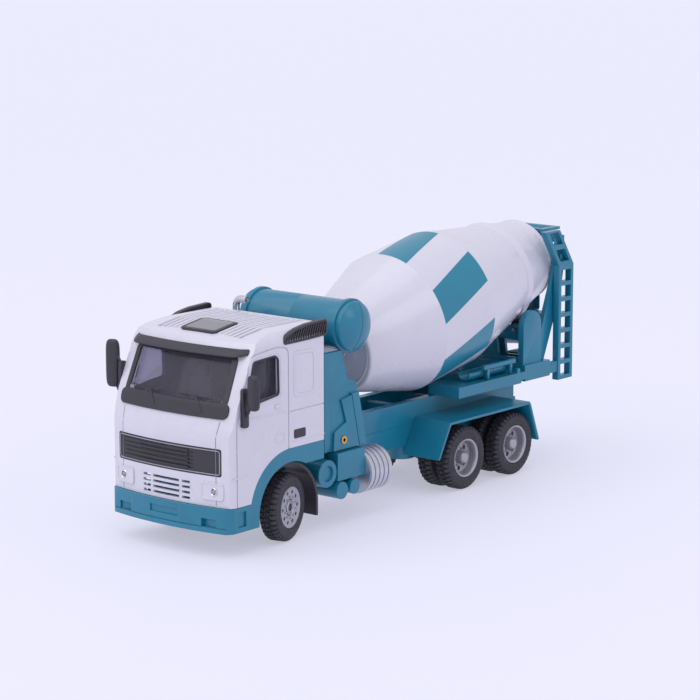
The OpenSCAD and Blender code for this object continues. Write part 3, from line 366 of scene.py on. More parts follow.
def round_path(points, radius, closed=True, steps=5):
    """A polyline with its corners rounded"""
    out = []
    n = len(points)
    for i, p in enumerate(points):
        if not closed and i in (0, n - 1):
            out.append(Vector(p))
            continue
        p = Vector(p)
        a, b = Vector(points[i - 1]), Vector(points[(i + 1) % n])
        r = min(radius, (a - p).length * 0.45, (b - p).length * 0.45)
        s, e = p + (a - p).normalized() * r, p + (b - p).normalized() * r
        for k in range(steps + 1):
            t = k / steps
            out.append(s * (1 - t) ** 2 + p * 2 * t * (1 - t) + e * t ** 2)
    return out


def resampled(points, step, closed):
    """The same path with no stretch longer than the step"""
    out = []
    for a, b in zip(points, points[1:] + points[:1] if closed else points[1:]):
        n = max(1, math.ceil((b - a).length / step))
        out += [a.lerp(b, k / n) for k in range(n)]
    return out if closed else out + [points[-1]]


def strip_mesh(bm, points, width, w0, w1, place, closed=True, step=2.0):
    """A raised strip along a path on a surface, or a cutter for a groove"""
    pts = resampled([Vector(p) for p in points], step, closed)
    n = len(pts)
    rings = []
    for i, p in enumerate(pts):
        a = pts[i - 1] if closed or i else p
        b = pts[(i + 1) % n] if closed or i < n - 1 else p
        before, after = p - a, b - p
        along = (before.normalized() + after.normalized()).normalized()
        half = Vector((-along.y, along.x)) * width / 2
        half /= max(0.5, abs(along.dot((before if i or closed else after).normalized())))
        l, r = p + half, p - half
        rings.append([bm.verts.new(place(q.x, q.y, w)) for q, w in ((l, w0), (l, w1), (r, w1), (r, w0))])
    join_rings(bm, rings, wrap=closed, capped=not closed)


def strip(name, paths, width, w0, w1, place, material, closed=True, step=2.0, edge=0.06):
    """A piece of the lorry made of raised strips along paths"""
    bm = bmesh.new()
    for path in paths:
        strip_mesh(bm, path, width, w0, w1, place, closed, step)
    obj = to_object(name, bm, material, "lorry")
    return rounded(obj, edge) if edge else obj


def cutter(path, width, w0, w1, place, step=4.0):
    """A bar along an open path, to be cut out of a piece"""
    bm = bmesh.new()
    strip_mesh(bm, path, width, w0, w1, place, False, step)
    bmesh.ops.recalc_face_normals(bm, faces=bm.faces)
    obj = bpy.data.objects.new("cutter", mesh_from(bm, "cutter"))
    collection.objects.link(obj)
    return obj


def pad_mesh(bm, u0, u1, v0, v1, radius, w0, w1, place, nu=16, nv=8, crown=0.0):
    """A slab with rounded corners that follows a surface"""
    def half_shift(t):
        edge = min(t, 1 - t) * (v1 - v0)
        if edge >= radius:
            return 0
        return radius - math.sqrt(max(0, radius ** 2 - (radius - edge) ** 2))
    vs = sorted({0, 1} | {k / nv for k in range(1, nv)} |
                {radius * f / (v1 - v0) for f in (0.1, 0.35, 0.7)} |
                {1 - radius * f / (v1 - v0) for f in (0.1, 0.35, 0.7)})
    layers = []
    for w, c in ((w0, 0), (w1, crown)):
        grid = []
        for t in vs:
            cut_in = half_shift(t)
            a, b = u0 + cut_in, u1 - cut_in
            row = []
            for i in range(nu + 1):
                s = i / nu
                lift = c * (1 - (2 * s - 1) ** 2) * (1 - (2 * t - 1) ** 2)
                row.append(bm.verts.new(place(a + (b - a) * s, v0 + (v1 - v0) * t, w + lift)))
            grid.append(row)
        layers.append(grid)
    back, face = layers
    rows = len(vs)
    for g in layers:
        for j in range(rows - 1):
            for i in range(nu):
                bm.faces.new((g[j][i], g[j][i + 1], g[j + 1][i + 1], g[j + 1][i]))
    for j in range(rows - 1):
        for i in (0, nu):
            bm.faces.new((back[j][i], back[j + 1][i], face[j + 1][i], face[j][i]))
    for i in range(nu):
        for j in (0, rows - 1):
            bm.faces.new((back[j][i], back[j][i + 1], face[j][i + 1], face[j][i]))


def pad(name, span, radius, w0, w1, place, material, edge=0.15, crown=0.0, nu=16):
    """A piece of the lorry made of one slab"""
    bm = bmesh.new()
    pad_mesh(bm, *span, radius, w0, w1, place, nu=nu, crown=crown)
    obj = to_object(name, bm, material, "lorry", merge=False)
    return rounded(obj, edge, 3) if edge else obj


def turned(bm, profile, matrix, n=96, closed=True):
    """Revolves (radius, along) points about local X and puts them in place"""
    rings = []
    for i in range(n):
        a = 2 * math.pi * i / n
        rings.append([bm.verts.new(matrix @ Vector((x * MM, r * MM * math.cos(a), r * MM * math.sin(a))))
                      for r, x in profile])
    join_rings(bm, rings, closed, wrap=True)


def tube(name, points, radius, material):
    """A round rod of the lorry along points"""
    curve = bpy.data.curves.new(name, "CURVE")
    curve.dimensions = "3D"
    curve.bevel_depth = radius * MM
    curve.bevel_resolution = 4
    curve.use_fill_caps = True
    spline = curve.splines.new("POLY")
    spline.points.add(len(points) - 1)
    for q, p in zip(spline.points, points):
        q.co = (*(Vector(p) * MM), 1)
    curve.materials.append(material)
    obj = bpy.data.objects.new(name, curve)
    collection.objects.link(obj)
    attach(obj, "lorry")


# ---------------------------------------------------------------- the CAD nodes that keep their shape
for node in ("rear_pedestal", "chute_rack", "ladder", "filling_hopper", "collector", "chute"):
    finished(node, TEAL, edge=0.14)
for node in ("chassis_frame", "subframe", "axle_hangers", "battery_box", "air_tanks", "reservoir",
             "platform_left", "platform_right", "rear_mudguards"):
    finished(node, TEAL, edge=0.16, joined=True)

# Pedestal: the step at the top of its gussets is trimmed down to the side plate, and a groove runs up each
GUSSET_T, RAIL_TOP = 0.8, 22.5
BAND_Z, BAND_W = RAIL_TOP + 20.9, 5.0
gusset_x, gusset_y1 = high("front_pedestal").x, high("front_pedestal").y
trims = []
for side in (1, -1):
    def on_gusset(u, v, w, side=side):
        return Vector((side * (gusset_x + w), u, v)) * MM
    trims.append(cutter([(gusset_y1 - 14, BAND_Z), (gusset_y1 - 1, BAND_Z)], BAND_W, 0.02 - GUSSET_T, 1.0,
                        on_gusset, step=20))
    trims.append(cutter([(gusset_y1 - 3.4, RAIL_TOP + 0.6), (gusset_y1 - 7.4, RAIL_TOP + 18.8)], 0.3, -0.3,
                        1.0, on_gusset, step=30))
finished("front_pedestal", TEAL, edge=0.16, joined=True, cutters=trims)

for node in ("front_axle_beam", "knuckle_left", "knuckle_right", "tie_rod", "roller_left", "roller_right",
             "steering_wheel", "front_mudguards"):
    finished(node, DARK, edge=0.1)
BUMPER_LINE_Z = low("bumper_moulding").z + 1.7
bumper_line = cutter([(-SIDE_X - 1, BUMPER_LINE_Z), (SIDE_X + 1, BUMPER_LINE_Z)], 0.35, -0.3, 0.8, on_bumper,
                     step=1.5)
finished("bumper_moulding", TEAL, edge=0.16, segments=3, joined=True, corner=0.9, cutters=[bumper_line])
finished("cab_interior", INSIDE, edge=0.3, segments=3)
finished("exhaust_pipe", CHROME, edge=0.08)
finished("fuel_tank", SATIN, edge=0.24, segments=3)
finished("pedestal_rivets", BRASS, edge=0.12, segments=3)
for node in ("chute_pin", "screws"):
    finished(node, STEEL, edge=0.08)
for node in ("rear_axle_1", "rear_axle_2", "roller_pins"):
    finished(node, STEEL, edge=0.12)
finished("glazing", GLASS, edge=0, smooth=50)

# ---------------------------------------------------------------- cab
door_rear = CAB_Y0 + 28.6
door_front = CAB_Y0 + 5.0
window = [(CAB_Y0 + 9.2, SCREEN_Z0 - 0.6), (CAB_Y0 + 24.2, SCREEN_Z0 + 1.2), (CAB_Y0 + 24, SCREEN_Z1 - 2),
          (CAB_Y0 + 22.6, SCREEN_Z1 - 0.8), (CAB_Y0 + 12.6, SCREEN_Z1 - 1.4)]
DOOR_Z0 = 15
door = [(door_front, DOOR_Z0), (door_front, BELT_Z), (CAB_Y0 + 7.4, SCREEN_Z0),
        (CAB_Y0 + 11.6, SCREEN_Z1 + 0.6), (CAB_Y0 + 24, SCREEN_Z1 + 1.8), (door_rear, SCREEN_Z1 + 0.6),
        (door_rear, DOOR_Z0)]
rear_line = [(door_rear + 0.2, BELT_Z), (CAB_Y0 + 45.8, BELT_Z + 0.1)]
grooves = []
for place in (on_left, on_right):
    grooves.append(cutter(round_path(door, 2.2, closed=False), 0.42, -0.32, 0.8, place))
    grooves.append(cutter(rear_line, 0.3, -0.25, 0.8, place))
finished("cab_shell", WHITE, edge=0.2, segments=3, cutters=grooves, joined=True, corner=1.0)

# Seams beside the bonnet
for side, tag in SIDES:
    strip("front_seam_" + tag, [[(side * 19.4, CAB_BOTTOM + 0.4), (side * 19.4, SILL_Z - 5.2),
                                 (side * 19.9, SILL_Z - 0.4)]], 0.2, -0.02, 0.03, on_front, SEAM,
          closed=False, edge=0)

# Dark panel below the windscreen, with its corners rounded, and the two wipers' feet
pad("scuttle_moulding", (-SIDE_X + 2.5, SIDE_X - 2.5, SILL_Z + 0.2, SCREEN_Z0 + 0.9), 1.9, 0.03, 0.5,
    on_front, DARK, edge=0.18, nu=40)
WIPERS = (("left", 13.0), ("right", -6.0))
bm = bmesh.new()
for _, x in WIPERS:
    turned(bm, [(0.02, -0.5), (0.72, -0.5), (0.72, -0.1), (0.5, 0.0), (0.02, 0.06)],
           facing_front(x, SILL_Z + 1.7, 0.5), 24)
scuttle = to_object("wiper_feet", bm, DARK, "lorry")
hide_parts("scuttle_panel")


# Sun visor: a thin curved blade whose ends wrap back round the corners
def visor_mesh(steps=36):
    section = [(0.0, 0.4), (0.1, 0.85), (-2.1, -0.35), (-2.75, -1.05), (-2.75, -1.45), (-2.35, -1.45),
               (-1.6, -0.75)]
    reach, wrap = SIDE_X - 1.4, 3.2
    bm = bmesh.new()
    rings = []
    for i in range(steps + 1):
        x = -reach + 2 * reach * i / steps
        end = max(0.0, (abs(x) - reach + wrap) / wrap) ** 2
        y = CAB_Y0 + 9.5 + drop(x) + 1.9 * end
        z = SCREEN_Z1 + 1.5 + 0.25 * end
        rings.append([bm.verts.new(Vector((x, y + d * (1 - 0.3 * end), z + h * (1 - 0.25 * end))) * MM)
                      for d, h in section])
    join_rings(bm, rings, capped=True)
    return bm


visor = rounded(to_object("sun_visor_blade", visor_mesh(), DARK, "lorry"), 0.16, 3)
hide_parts("sun_visor")


# Roof: ribs moulded along it and the hatch with its smoked pane
HATCH_X = high("roof_hatch").x
HATCH_Y0, HATCH_Y1 = low("roof_hatch").y, high("roof_hatch").y
RIB_PITCH = 2.1
ribs = []
for k in range(-8, 9):
    x = RIB_PITCH * k
    y0 = HATCH_Y1 + 1.2 if abs(x) < HATCH_X + 0.8 else CAB_Y0 + 15.5
    ribs.append([(x, y0), (x, CAB_Y1 - 2.6)])


def on_ribbed(u, v, w):
    """(across, along, proud) on the roof, which slopes down at its front"""
    t = min(1.0, max(0.0, (v - CAB_Y0 - 15) / 9))
    return Vector((u, v, CAB_TOP - 1.4 * (1 - t) + w)) * MM


strip("roof_ribs", ribs, 1.12, -0.3, 0.33, on_ribbed, WHITE, closed=False, step=3, edge=0.26)
pad("hatch_frame", (-HATCH_X, HATCH_X, HATCH_Y0, HATCH_Y1), 1.7, -0.9, 0.62, on_ribbed, DARK,
    edge=0.3)
hatch = pad("hatch_pane", (-HATCH_X + 1.3, HATCH_X - 1.3, HATCH_Y0 + 1.2, HATCH_Y1 - 1.2), 0.9, 0.3, 0.66,
            on_ribbed, PANE, edge=0.08)
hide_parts("roof_hatch")

# Air louvres at the roof's rear corners: a rimmed outline with slanting blades
LOUVRE_TOP, LOUVRE_Y1, BLADES, BLADE_PITCH = CAB_TOP + 0.7, CAB_Y1 + 1.2, 16, 1.14
louvre_outline = [(CAB_Y1 - 18.6, LOUVRE_TOP - 4.9), (CAB_Y1 - 17.8, LOUVRE_TOP - 3.0),
                  (CAB_Y1 - 13, LOUVRE_TOP - 1.2), (CAB_Y1 - 8, LOUVRE_TOP - 0.4), (LOUVRE_Y1, LOUVRE_TOP),
                  (LOUVRE_Y1, LOUVRE_TOP - 4.4), (CAB_Y1 - 8, LOUVRE_TOP - 4.8)]
blades = []
for k in range(BLADES):
    y = CAB_Y1 - 17.4 + BLADE_PITCH * k
    blade_top = LOUVRE_TOP - 0.5 - max(0.0, CAB_Y1 - 7 - y) * 0.19
    blades.append([(y, LOUVRE_TOP - 4.6), (min(y + 1.5, LOUVRE_Y1 - 0.1), blade_top)])
for place, tag in FLANKS:
    strip("louvre_rim_" + tag, [round_path(louvre_outline, 1.0)], 0.7, -1.5, 0.26, place, DARK,
          edge=0.16)
    pad("louvre_back_" + tag, (CAB_Y1 - 15.5, LOUVRE_Y1 - 0.2, LOUVRE_TOP - 4.6, LOUVRE_TOP - 1.6), 0.3, -1.4,
        -0.5, place, DARK, edge=0)
    louvre = strip("louvre_blades_" + tag, blades, 0.52, -0.7, 0.08, place, DARK,
                   closed=False, edge=0.08)
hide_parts("side_louvres")

# Windscreen seal
screen = [(-20.4, SCREEN_Z0 - 0.1), (20.4, SCREEN_Z0 - 0.1), (19.9, SCREEN_Z1 - 0.1),
          (-19.9, SCREEN_Z1 - 0.1)]
strip("windscreen_seal", [round_path(screen, 2.0)], 1.9, -0.5, 0.3, on_front, DARK, edge=0.14)

# What is moulded into both sides of the cab: rims, creases, the blank rear window, the handle and two plates
window_rim = [(CAB_Y0 + 8.0, SCREEN_Z0 - 1.7), (CAB_Y0 + 25.4, SCREEN_Z0 + 0.2),
              (CAB_Y0 + 25.2, SCREEN_Z1 - 1.4), (CAB_Y0 + 23.4, SCREEN_Z1 + 0.4),
              (CAB_Y0 + 12.0, SCREEN_Z1 - 0.2)]
sleeper_rim = [(CAB_Y0 + 31.4, SCREEN_Z0 - 0.4), (CAB_Y0 + 40.6, SCREEN_Z0 - 0.4),
               (CAB_Y0 + 40.6, SCREEN_Z1 - 1.6), (CAB_Y0 + 31.4, SCREEN_Z1 - 1.0)]
belt_crease = [(CAB_Y0 + 6, BELT_Z + 0.5), (door_rear - 1.2, BELT_Z + 0.5)]
low_crease = [(CAB_Y0 + 30, CAB_BOTTOM + 16.2), (CAB_Y0 + 45.4, CAB_BOTTOM + 16.2)]
arch_crease = [(CAB_Y0 + 3.0, CAB_BOTTOM + 8.8), (CAB_Y0 + 9.4, CAB_BOTTOM + 9.6)]
lock_plate = [(CAB_Y0 + 22.6, CAB_BOTTOM + 16.8), (CAB_Y0 + 26.6, CAB_BOTTOM + 16.8),
              (CAB_Y0 + 26.6, CAB_BOTTOM + 19.6), (CAB_Y0 + 22.6, CAB_BOTTOM + 19.6)]
for place, tag in FLANKS:
    strip("window_seal_" + tag, [round_path(window, 1.0)], 0.55, -0.4, 0.12, place, DARK,
          edge=0.08)
    strip("window_rim_" + tag, [round_path(window_rim, 1.4)], 0.7, -0.1, 0.18, place, WHITE,
          edge=0.12)
    strip("sleeper_window_rim_" + tag, [round_path(sleeper_rim, 1.8)], 0.8, -0.1, 0.2, place, WHITE,
          edge=0.12)
    pad("sleeper_blank_" + tag, (CAB_Y0 + 32.0, CAB_Y0 + 40.0, SCREEN_Z0 + 0.3, SCREEN_Z1 - 2.0), 1.4, -0.1,
        0.05, place, WHITE, edge=0.05, crown=0.12)
    strip("belt_crease_" + tag, [belt_crease], 0.5, -0.1, 0.14, place, WHITE, closed=False,
          edge=0.12)
    strip("low_crease_" + tag, [low_crease], 0.4, -0.1, 0.12, place, WHITE, closed=False,
          edge=0.1)
    strip("arch_crease_" + tag, [arch_crease], 0.5, -0.1, 0.14, place, WHITE, closed=False,
          edge=0.12)
    pad("door_handle_" + tag, (CAB_Y0 + 22.2, CAB_Y0 + 25.0, SILL_Z + 1.0, SILL_Z + 2.2), 0.55, -0.1, 0.35,
        place, WHITE, edge=0.2, crown=0.15)
    strip("lock_plate_" + tag, [round_path(lock_plate, 0.6)], 0.4, -0.1, 0.14, place, WHITE,
          edge=0.1)
    pad("side_plate_" + tag, (CAB_Y0 + 31.0, CAB_Y0 + 36.4, CAB_BOTTOM + 16.9, CAB_BOTTOM + 19.7), 0.5, -0.1,
        0.16, place, DARK, edge=0.1)

# Grille: bright rim and slats
GRILLE_Z0, GRILLE_X, RIM_INSET, SLAT_PITCH = low("grille").z, high("grille").x, 0.6, 1.3
rim_x, rim_z0, rim_z1 = GRILLE_X - RIM_INSET, GRILLE_Z0 + RIM_INSET, high("grille").z - RIM_INSET
slats = [[(x, GRILLE_Z0 + 1.7 + SLAT_PITCH * k) for x in (-18.6, 9.2)] for k in range(5)]
finished("grille", DARK, edge=0.08)
strip("grille_rim", [round_path([(-rim_x, rim_z0), (rim_x, rim_z0), (rim_x, rim_z1), (-rim_x, rim_z1)], 0.8)],
      0.28, -0.2, 0.12, on_front, SILVER, edge=0.05)
strip("grille_slats", slats, 0.6, -0.2, 0.3, on_front, DARK, closed=False, edge=0.12)

# Headlamps: a lid with a raised rim, a faceted lens and its bezel
for side, tag in SIDES:
    x0, x1 = side * (LAMP_X - 4.4), side * (LAMP_X + 3.2)
    lid = [(x0, LAMP_Z - 2.4), (x1, LAMP_Z - 2.4), (x1, LAMP_Z + 2.4), (x0, LAMP_Z + 2.4)]
    strip("lamp_rim_" + tag, [round_path(lid, 0.9)], 0.45, 0, 0.45, on_front, WHITE,
          edge=0.12)
    facing = facing_front(side * LAMP_X, LAMP_Z, 0)
    bm = bmesh.new()
    turned(bm, [(0.02, -0.6), (0.86, -0.6), (0.86, 0.3), (0.7, 0.55), (0.4, 0.72), (0.02, 0.78)], facing, 12)
    lens = to_object("lamp_lens_" + tag, bm, JEWEL, "lorry", smooth=10)
    bm = bmesh.new()
    turned(bm, [(0.88, 0.0), (1.25, 0.0), (1.25, 0.5), (1.1, 0.62), (0.95, 0.5)], facing, 40)
    to_object("lamp_bezel_" + tag, bm, CHROME, "lorry")
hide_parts("headlamp_jewels")

# Wiper blades and arms
for tag, x in WIPERS:
    blade = [(x - 12.4, SCREEN_Z0 + 2.3), (x + 0.6, SCREEN_Z0 + 2.0)]
    arm = [(x, SILL_Z + 1.7), (x - 2.6, SCREEN_Z0 + 1.4), (x - 5.6, SCREEN_Z0 + 2.4)]
    strip("wiper_blade_" + tag, [blade], 0.3, 0.1, 0.5, on_front, DARK, closed=False,
          edge=0.06, step=1.5)
    strip("wiper_arm_" + tag, [arm], 0.42, 0.35, 0.75, on_front, DARK, closed=False, edge=0.1,
          step=1.5)


# Mirrors: a rounded head on two arms, and their foot on the cab
MIRROR_A, MIRROR_B, MIRROR_TILT = 2.35, 1.15, math.radians(-12)
MIRROR_STATIONS = [(0, 0.45), (0.04, 0.8), (0.12, 0.97), (0.3, 1.0), (0.7, 1.0), (0.88, 0.97), (0.96, 0.8),
                   (1, 0.45)]


def mirror_head(side, cx, cy, z0, z1, n=28):
    """Rings of a flattened oval, hollowed a little at the front, and narrower at both ends"""
    bm = bmesh.new()
    rings = []
    for t, k in MIRROR_STATIONS:
        ring = []
        for i in range(n):
            a = 2 * math.pi * i / n
            ca, sa = math.cos(a), math.sin(a)
            px = MIRROR_A * k * math.copysign(abs(ca) ** 0.55, ca)
            hollow = 0.3 * (1 - (px / 2.4) ** 2) if sa < 0 else 0
            py = MIRROR_B * k * math.copysign(abs(sa) ** 0.7, sa) - hollow
            qx = px * math.cos(MIRROR_TILT) - py * math.sin(MIRROR_TILT)
            qy = px * math.sin(MIRROR_TILT) + py * math.cos(MIRROR_TILT)
            ring.append(bm.verts.new(Vector((side * (cx + qx), cy + qy, z0 + (z1 - z0) * t)) * MM))
        rings.append(ring)
    join_rings(bm, rings, capped=True)
    return bm


for side, tag in SIDES:
    node, flank = "mirror_" + tag, on_left if side > 0 else on_right
    lo, hi = low(node), high(node)
    head_z0, head_z1 = lo.z + 5.7, hi.z - 0.1
    cx = (hi.x if side > 0 else -lo.x) - 2.6
    cy = (lo.y + hi.y) / 2 - 0.2
    head = to_object(node + "_head", mirror_head(side, cx, cy, head_z0, head_z1), DARK, "lorry",
                     smooth=50)
    finer = head.modifiers.new("smooth", "SUBSURF")
    finer.levels = finer.render_levels = 1
    inner = SIDE_X + 0.5
    for k, z in enumerate((head_z0 + 2.2, head_z1 - 2.6)):
        arm = [(side * inner, cy + 0.4, z - 4.6), (side * (inner + 0.9), cy + 0.2, z - 4.4),
               (side * (cx - 0.8), cy, z - 0.4), (side * (cx + 0.4), cy, z)]
        tube(f"{node}_arm_{k}", arm, 0.45, DARK)
    bm = bmesh.new()
    foot_z1 = lo.z + 12 if head_z1 - head_z0 < 12 else head_z1 - 6.5
    pad_mesh(bm, cy - 1.1, cy + 1.5, lo.z, foot_z1, 0.8, 0.02, 1.2, flank, 6, 8, 0.25)
    rounded(to_object(node + "_foot", bm, DARK, "lorry", merge=False), 0.3, 3)
    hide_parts(node)

# ---------------------------------------------------------------- wheels
FRONT_TYRE_W, REAR_TYRE_W, TWIN_GAP = 6.2, 5.6, 2.0


def tyre_mesh(width, blocks=38):
    """A tyre about local X, outer face at x = 0: bulged walls and a tread of cut blocks"""
    r, zigzag = TYRE_R, 0.16
    # Where each block's rings lie round the tyre: the outer shoulder's groove is at rings 1 and 2, the inner
    # shoulder's at rings 4 and 5
    fractions = (0.0, 0.06, 0.27, 0.33, 0.55, 0.78)
    groove_rings = {0: (), 1: (1, 2), 2: (4, 5)}
    # (position, radius, depth of the shoulder's groove, which shoulder, zigzag's direction)
    wall = [(-0.55, 6.5, 0, 0, 0), (-0.1, 6.75, 0, 0, 0), (0.02, 7.3, 0, 0, 0), (0.1, 7.9, 0, 0, 0),
            (0.0, 8.05, 0, 0, 0), (0.06, 8.6, 0, 0, 0), (-0.02, 9.2, 0, 0, 0), (-0.1, 9.55, 0, 0, 0),
            (-0.16, 9.62, 0.06, 1, 0), (-0.45, r - 0.5, 0.5, 1, 0), (-0.8, r - 0.12, 0.62, 1, 0),
            (-1.25, r, 0.6, 1, 0), (-width * 0.33 + 0.1, r, 0.55, 1, 0)]
    middle = [(-width * 0.33 - 0.02, r - 0.5, 0, 0, 1), (-width * 0.33 - 0.36, r - 0.5, 0, 0, 1),
              (-width * 0.33 - 0.46, r, 0, 0, 1), (-width * 0.5 + 0.22, r, 0, 0, -1),
              (-width * 0.5 + 0.14, r - 0.4, 0, 0, -1)]
    half = wall + middle
    stations = half + [(-width - x, rr, depth, 2 if shoulder else 0, -zig)
                       for x, rr, depth, shoulder, zig in half[::-1]]
    bm = bmesh.new()
    rings = []
    for block in range(blocks):
        for k, fraction in enumerate(fractions):
            a = 2 * math.pi * (block + fraction) / blocks
            ring = []
            for x, rr, depth, shoulder, zig in stations:
                radius = rr - (depth if k in groove_rings[shoulder] else 0)
                along = x + zig * (zigzag if k < 3 else -zigzag)
                ring.append(bm.verts.new((along * MM, radius * MM * math.cos(a), radius * MM * math.sin(a))))
            rings.append(ring)
    join_rings(bm, rings, wrap=True)
    bmesh.ops.recalc_face_normals(bm, faces=bm.faces)
    mesh = mesh_from(bm, "tyre")
    mesh.materials.append(RUBBER)
    set_smooth(mesh, 30)
    return mesh


def placed(name, mesh, matrix, body):
    """A piece that shares its mesh with others"""
    obj = bpy.data.objects.new(name, mesh)
    obj.matrix_world = matrix
    collection.objects.link(obj)
    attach(obj, body)
    return obj


def nut_ring(bm, matrix, count, radius, x, size, height):
    """Six-sided nuts on a circle about local X"""
    nut = [(0.02, 0), (size, 0), (size, height * 0.7), (size * 0.7, height), (0.02, height * 1.05)]
    for k in range(count):
        a = 2 * math.pi * (k + 0.5) / count
        spot = matrix @ Matrix.Translation(Vector((x, radius * math.cos(a), radius * math.sin(a))) * MM)
        turned(bm, nut, spot, 6)


def wheel_matrix(joint, offset, flip=False):
    """Puts local X along a wheel's axle, at an offset from its joint, or turned round for the other side"""
    axis = Vector(JOINTS[joint]["axis"])
    across = UP.cross(axis)
    turn = Matrix((axis, across, UP)).transposed().to_4x4()
    place = Matrix.Translation(Vector(JOINTS[joint]["pos_m"])) @ turn
    if flip:
        place = place @ Matrix.Rotation(math.pi, 4, "Z")
    return place @ Matrix.Translation(Vector((offset, 0, 0)) * MM)


FRONT_FACE = 8
front_tyre = tyre_mesh(FRONT_TYRE_W)
rear_tyre = tyre_mesh(REAR_TYRE_W)
for side, tag in SIDES:
    matrix = wheel_matrix("spin_front_" + tag, FRONT_FACE, side < 0)
    body = "front_wheel_" + tag
    tyre = placed("front_tyre_block_tread_" + tag, front_tyre, matrix, body)
    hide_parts("front_tyre_" + tag)
    finished("front_rim_" + tag, SILVER, edge=0.1)
    bm = bmesh.new()
    nut_ring(bm, matrix, 10, 3.35, -0.35, 0.34, 0.5)
    turned(bm, [(2.05, -0.9), (2.3, -0.9), (2.3, -0.3), (2.15, -0.12), (1.95, -0.12), (1.8, -0.35),
                (1.8, -0.9)], matrix, 48)
    to_object("front_nuts_" + tag, bm, SILVER, body)
    bm = bmesh.new()
    turned(bm, [(0.02, -1.2), (1.2, -1.2), (1.2, -0.7), (0.9, -0.5), (0.02, -0.42)], matrix, 32)
    to_object("front_hub_cap_" + tag, bm, DARK, body)

REAR_FACE = high("rear_tyres_1").x
for k in (1, 2):
    body = f"rear_wheels_{k}"
    finished(f"rear_rims_{k}", SILVER, edge=0.12)
    for side, tag in SIDES:
        matrix = wheel_matrix(f"spin_rear_{k}", REAR_FACE, side < 0)
        for twin, offset in (("outer", 0.0), ("inner", -REAR_TYRE_W - TWIN_GAP)):
            tyre = placed(f"rear_tyre_{k}_{tag}_{twin}", rear_tyre,
                          matrix @ Matrix.Translation((offset * MM, 0, 0)), body)
        bm = bmesh.new()
        nut_ring(bm, matrix, 8, 2.9, -3.1, 0.34, 0.55)
        turned(bm, [(1.5, -2.9), (1.95, -2.9), (1.8, -0.9), (1.55, -0.55), (0.8, -0.42), (0.02, -0.4),
                    (0.02, -0.8), (1.5, -0.9)], matrix, 48)
        to_object(f"rear_nuts_{k}_{tag}", bm, SILVER, body)
    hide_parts(f"rear_tyres_{k}")

# ---------------------------------------------------------------- drum
drum_axis = Vector(JOINTS["drum_spin"]["axis"])
drum_up = Vector((1, 0, 0)).cross(drum_axis)
DRUM = Matrix.Translation(Vector(JOINTS["drum_spin"]["pos_m"])) @ \
    Matrix((drum_axis, Vector((1, 0, 0)), drum_up)).transposed().to_4x4()
# Along the axis: the belly's start and end, the rear cone's start, the track ring and the mouth
S1, S2, END = 28.6, 55.1, 102.4
CONE, TRACK = S2 + 10, S2 + 28.8
# Radii of the front, the belly, the rear cone's start, its end and the track ring
R0, R1, R2, R3, TRACK_R = 14.8, 24.0, 21.8, 14.0, 18.4
WALL, RING_HALF = 1.2, 1.65
# Painted fields: how many, how wide and how far skewed in degrees, and where the first one starts
FIELDS, FIELD_SPAN, SKEW, FIRST = 6, 28.85, 16.5, 5.5
FIELD_COLUMNS, PLAIN_COLUMNS, ROWS = 14, 15, 10
ROUND = FIELDS * (FIELD_COLUMNS + PLAIN_COLUMNS)


def cone_r(s):
    """Radius of the rear cone at a place along the axis"""
    return R2 + (R3 - R2) * (s - CONE) / (END - CONE)


def belly(bm):
    """A skewed grid, so that the edges of the painted fields are mesh edges"""
    pitch = 360 / FIELDS
    columns = []
    for k in range(FIELDS):
        start = FIRST + pitch * k
        plain = start + FIELD_SPAN
        columns += [(start + FIELD_SPAN * i / FIELD_COLUMNS, 1) for i in range(FIELD_COLUMNS)]
        columns += [(plain + (pitch - FIELD_SPAN) * i / PLAIN_COLUMNS, 0) for i in range(PLAIN_COLUMNS)]
    grid = []
    for j in range(ROWS + 1):
        row = []
        for angle, _ in columns:
            a = math.radians(angle + SKEW * j / ROWS)
            spot = Vector((S1 + (S2 - S1) * j / ROWS, R1 * math.cos(a), R1 * math.sin(a)))
            row.append(bm.verts.new(DRUM @ (spot * MM)))
        grid.append(row)
    for p, q in zip(grid, grid[1:]):
        for i, (_, paint) in enumerate(columns):
            after = (i + 1) % ROUND
            bm.faces.new((p[i], p[after], q[after], q[i])).material_index = paint


bm = bmesh.new()
front = [(R1, S1), (R0 + 0.2, 1.2), (R0 - 0.05, 0.5), (R0 - 0.5, 0.1), (R0 - 1.6, 0), (R0 - 2.2, 0.3),
         (R0 - 2.4, 0.8), (R0 * 0.55, 0.8), (R0 * 0.5, 0.6), (3.6, 0.6), (3.4, 0.3), (2.5, 0.2), (2.5, -19.4),
         (2.2, -19.7), (0.02, -19.7)]
turned(bm, front, DRUM, ROUND, closed=False)
rear = [(R1, S2), (R1 - 0.5, S2 + 2.6), (R1 - 1.2, S2 + 5.8), (R2, CONE)]
rear += [(cone_r(s), s) for s in (70, 76, TRACK - RING_HALF)]
rear += [(TRACK_R - 0.1, TRACK - 1.6), (TRACK_R, TRACK - 1.4), (TRACK_R, TRACK + 1.4),
         (TRACK_R - 0.1, TRACK + 1.6)]
rear += [(cone_r(s), s) for s in (TRACK + RING_HALF, 94, 100.7)]
# The mouth's rim, and back along the inside, a wall's thickness in
rear += [(14.5, 100.85), (14.6, 101.1), (14.6, 102.1), (14.45, 102.35), (R3, END), (12.95, END),
         (12.8, 102.2), (R2 - WALL, CONE), (R1 - WALL, S2), (R1 - WALL, S1), (13.6, 3.4), (0.02, 3.4)]
turned(bm, rear, DRUM, ROUND, closed=False)
belly(bm)
drum = to_object("drum_shell", bm, [WHITE, FIELD], "drum", smooth=8, merge=False)
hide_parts("drum")

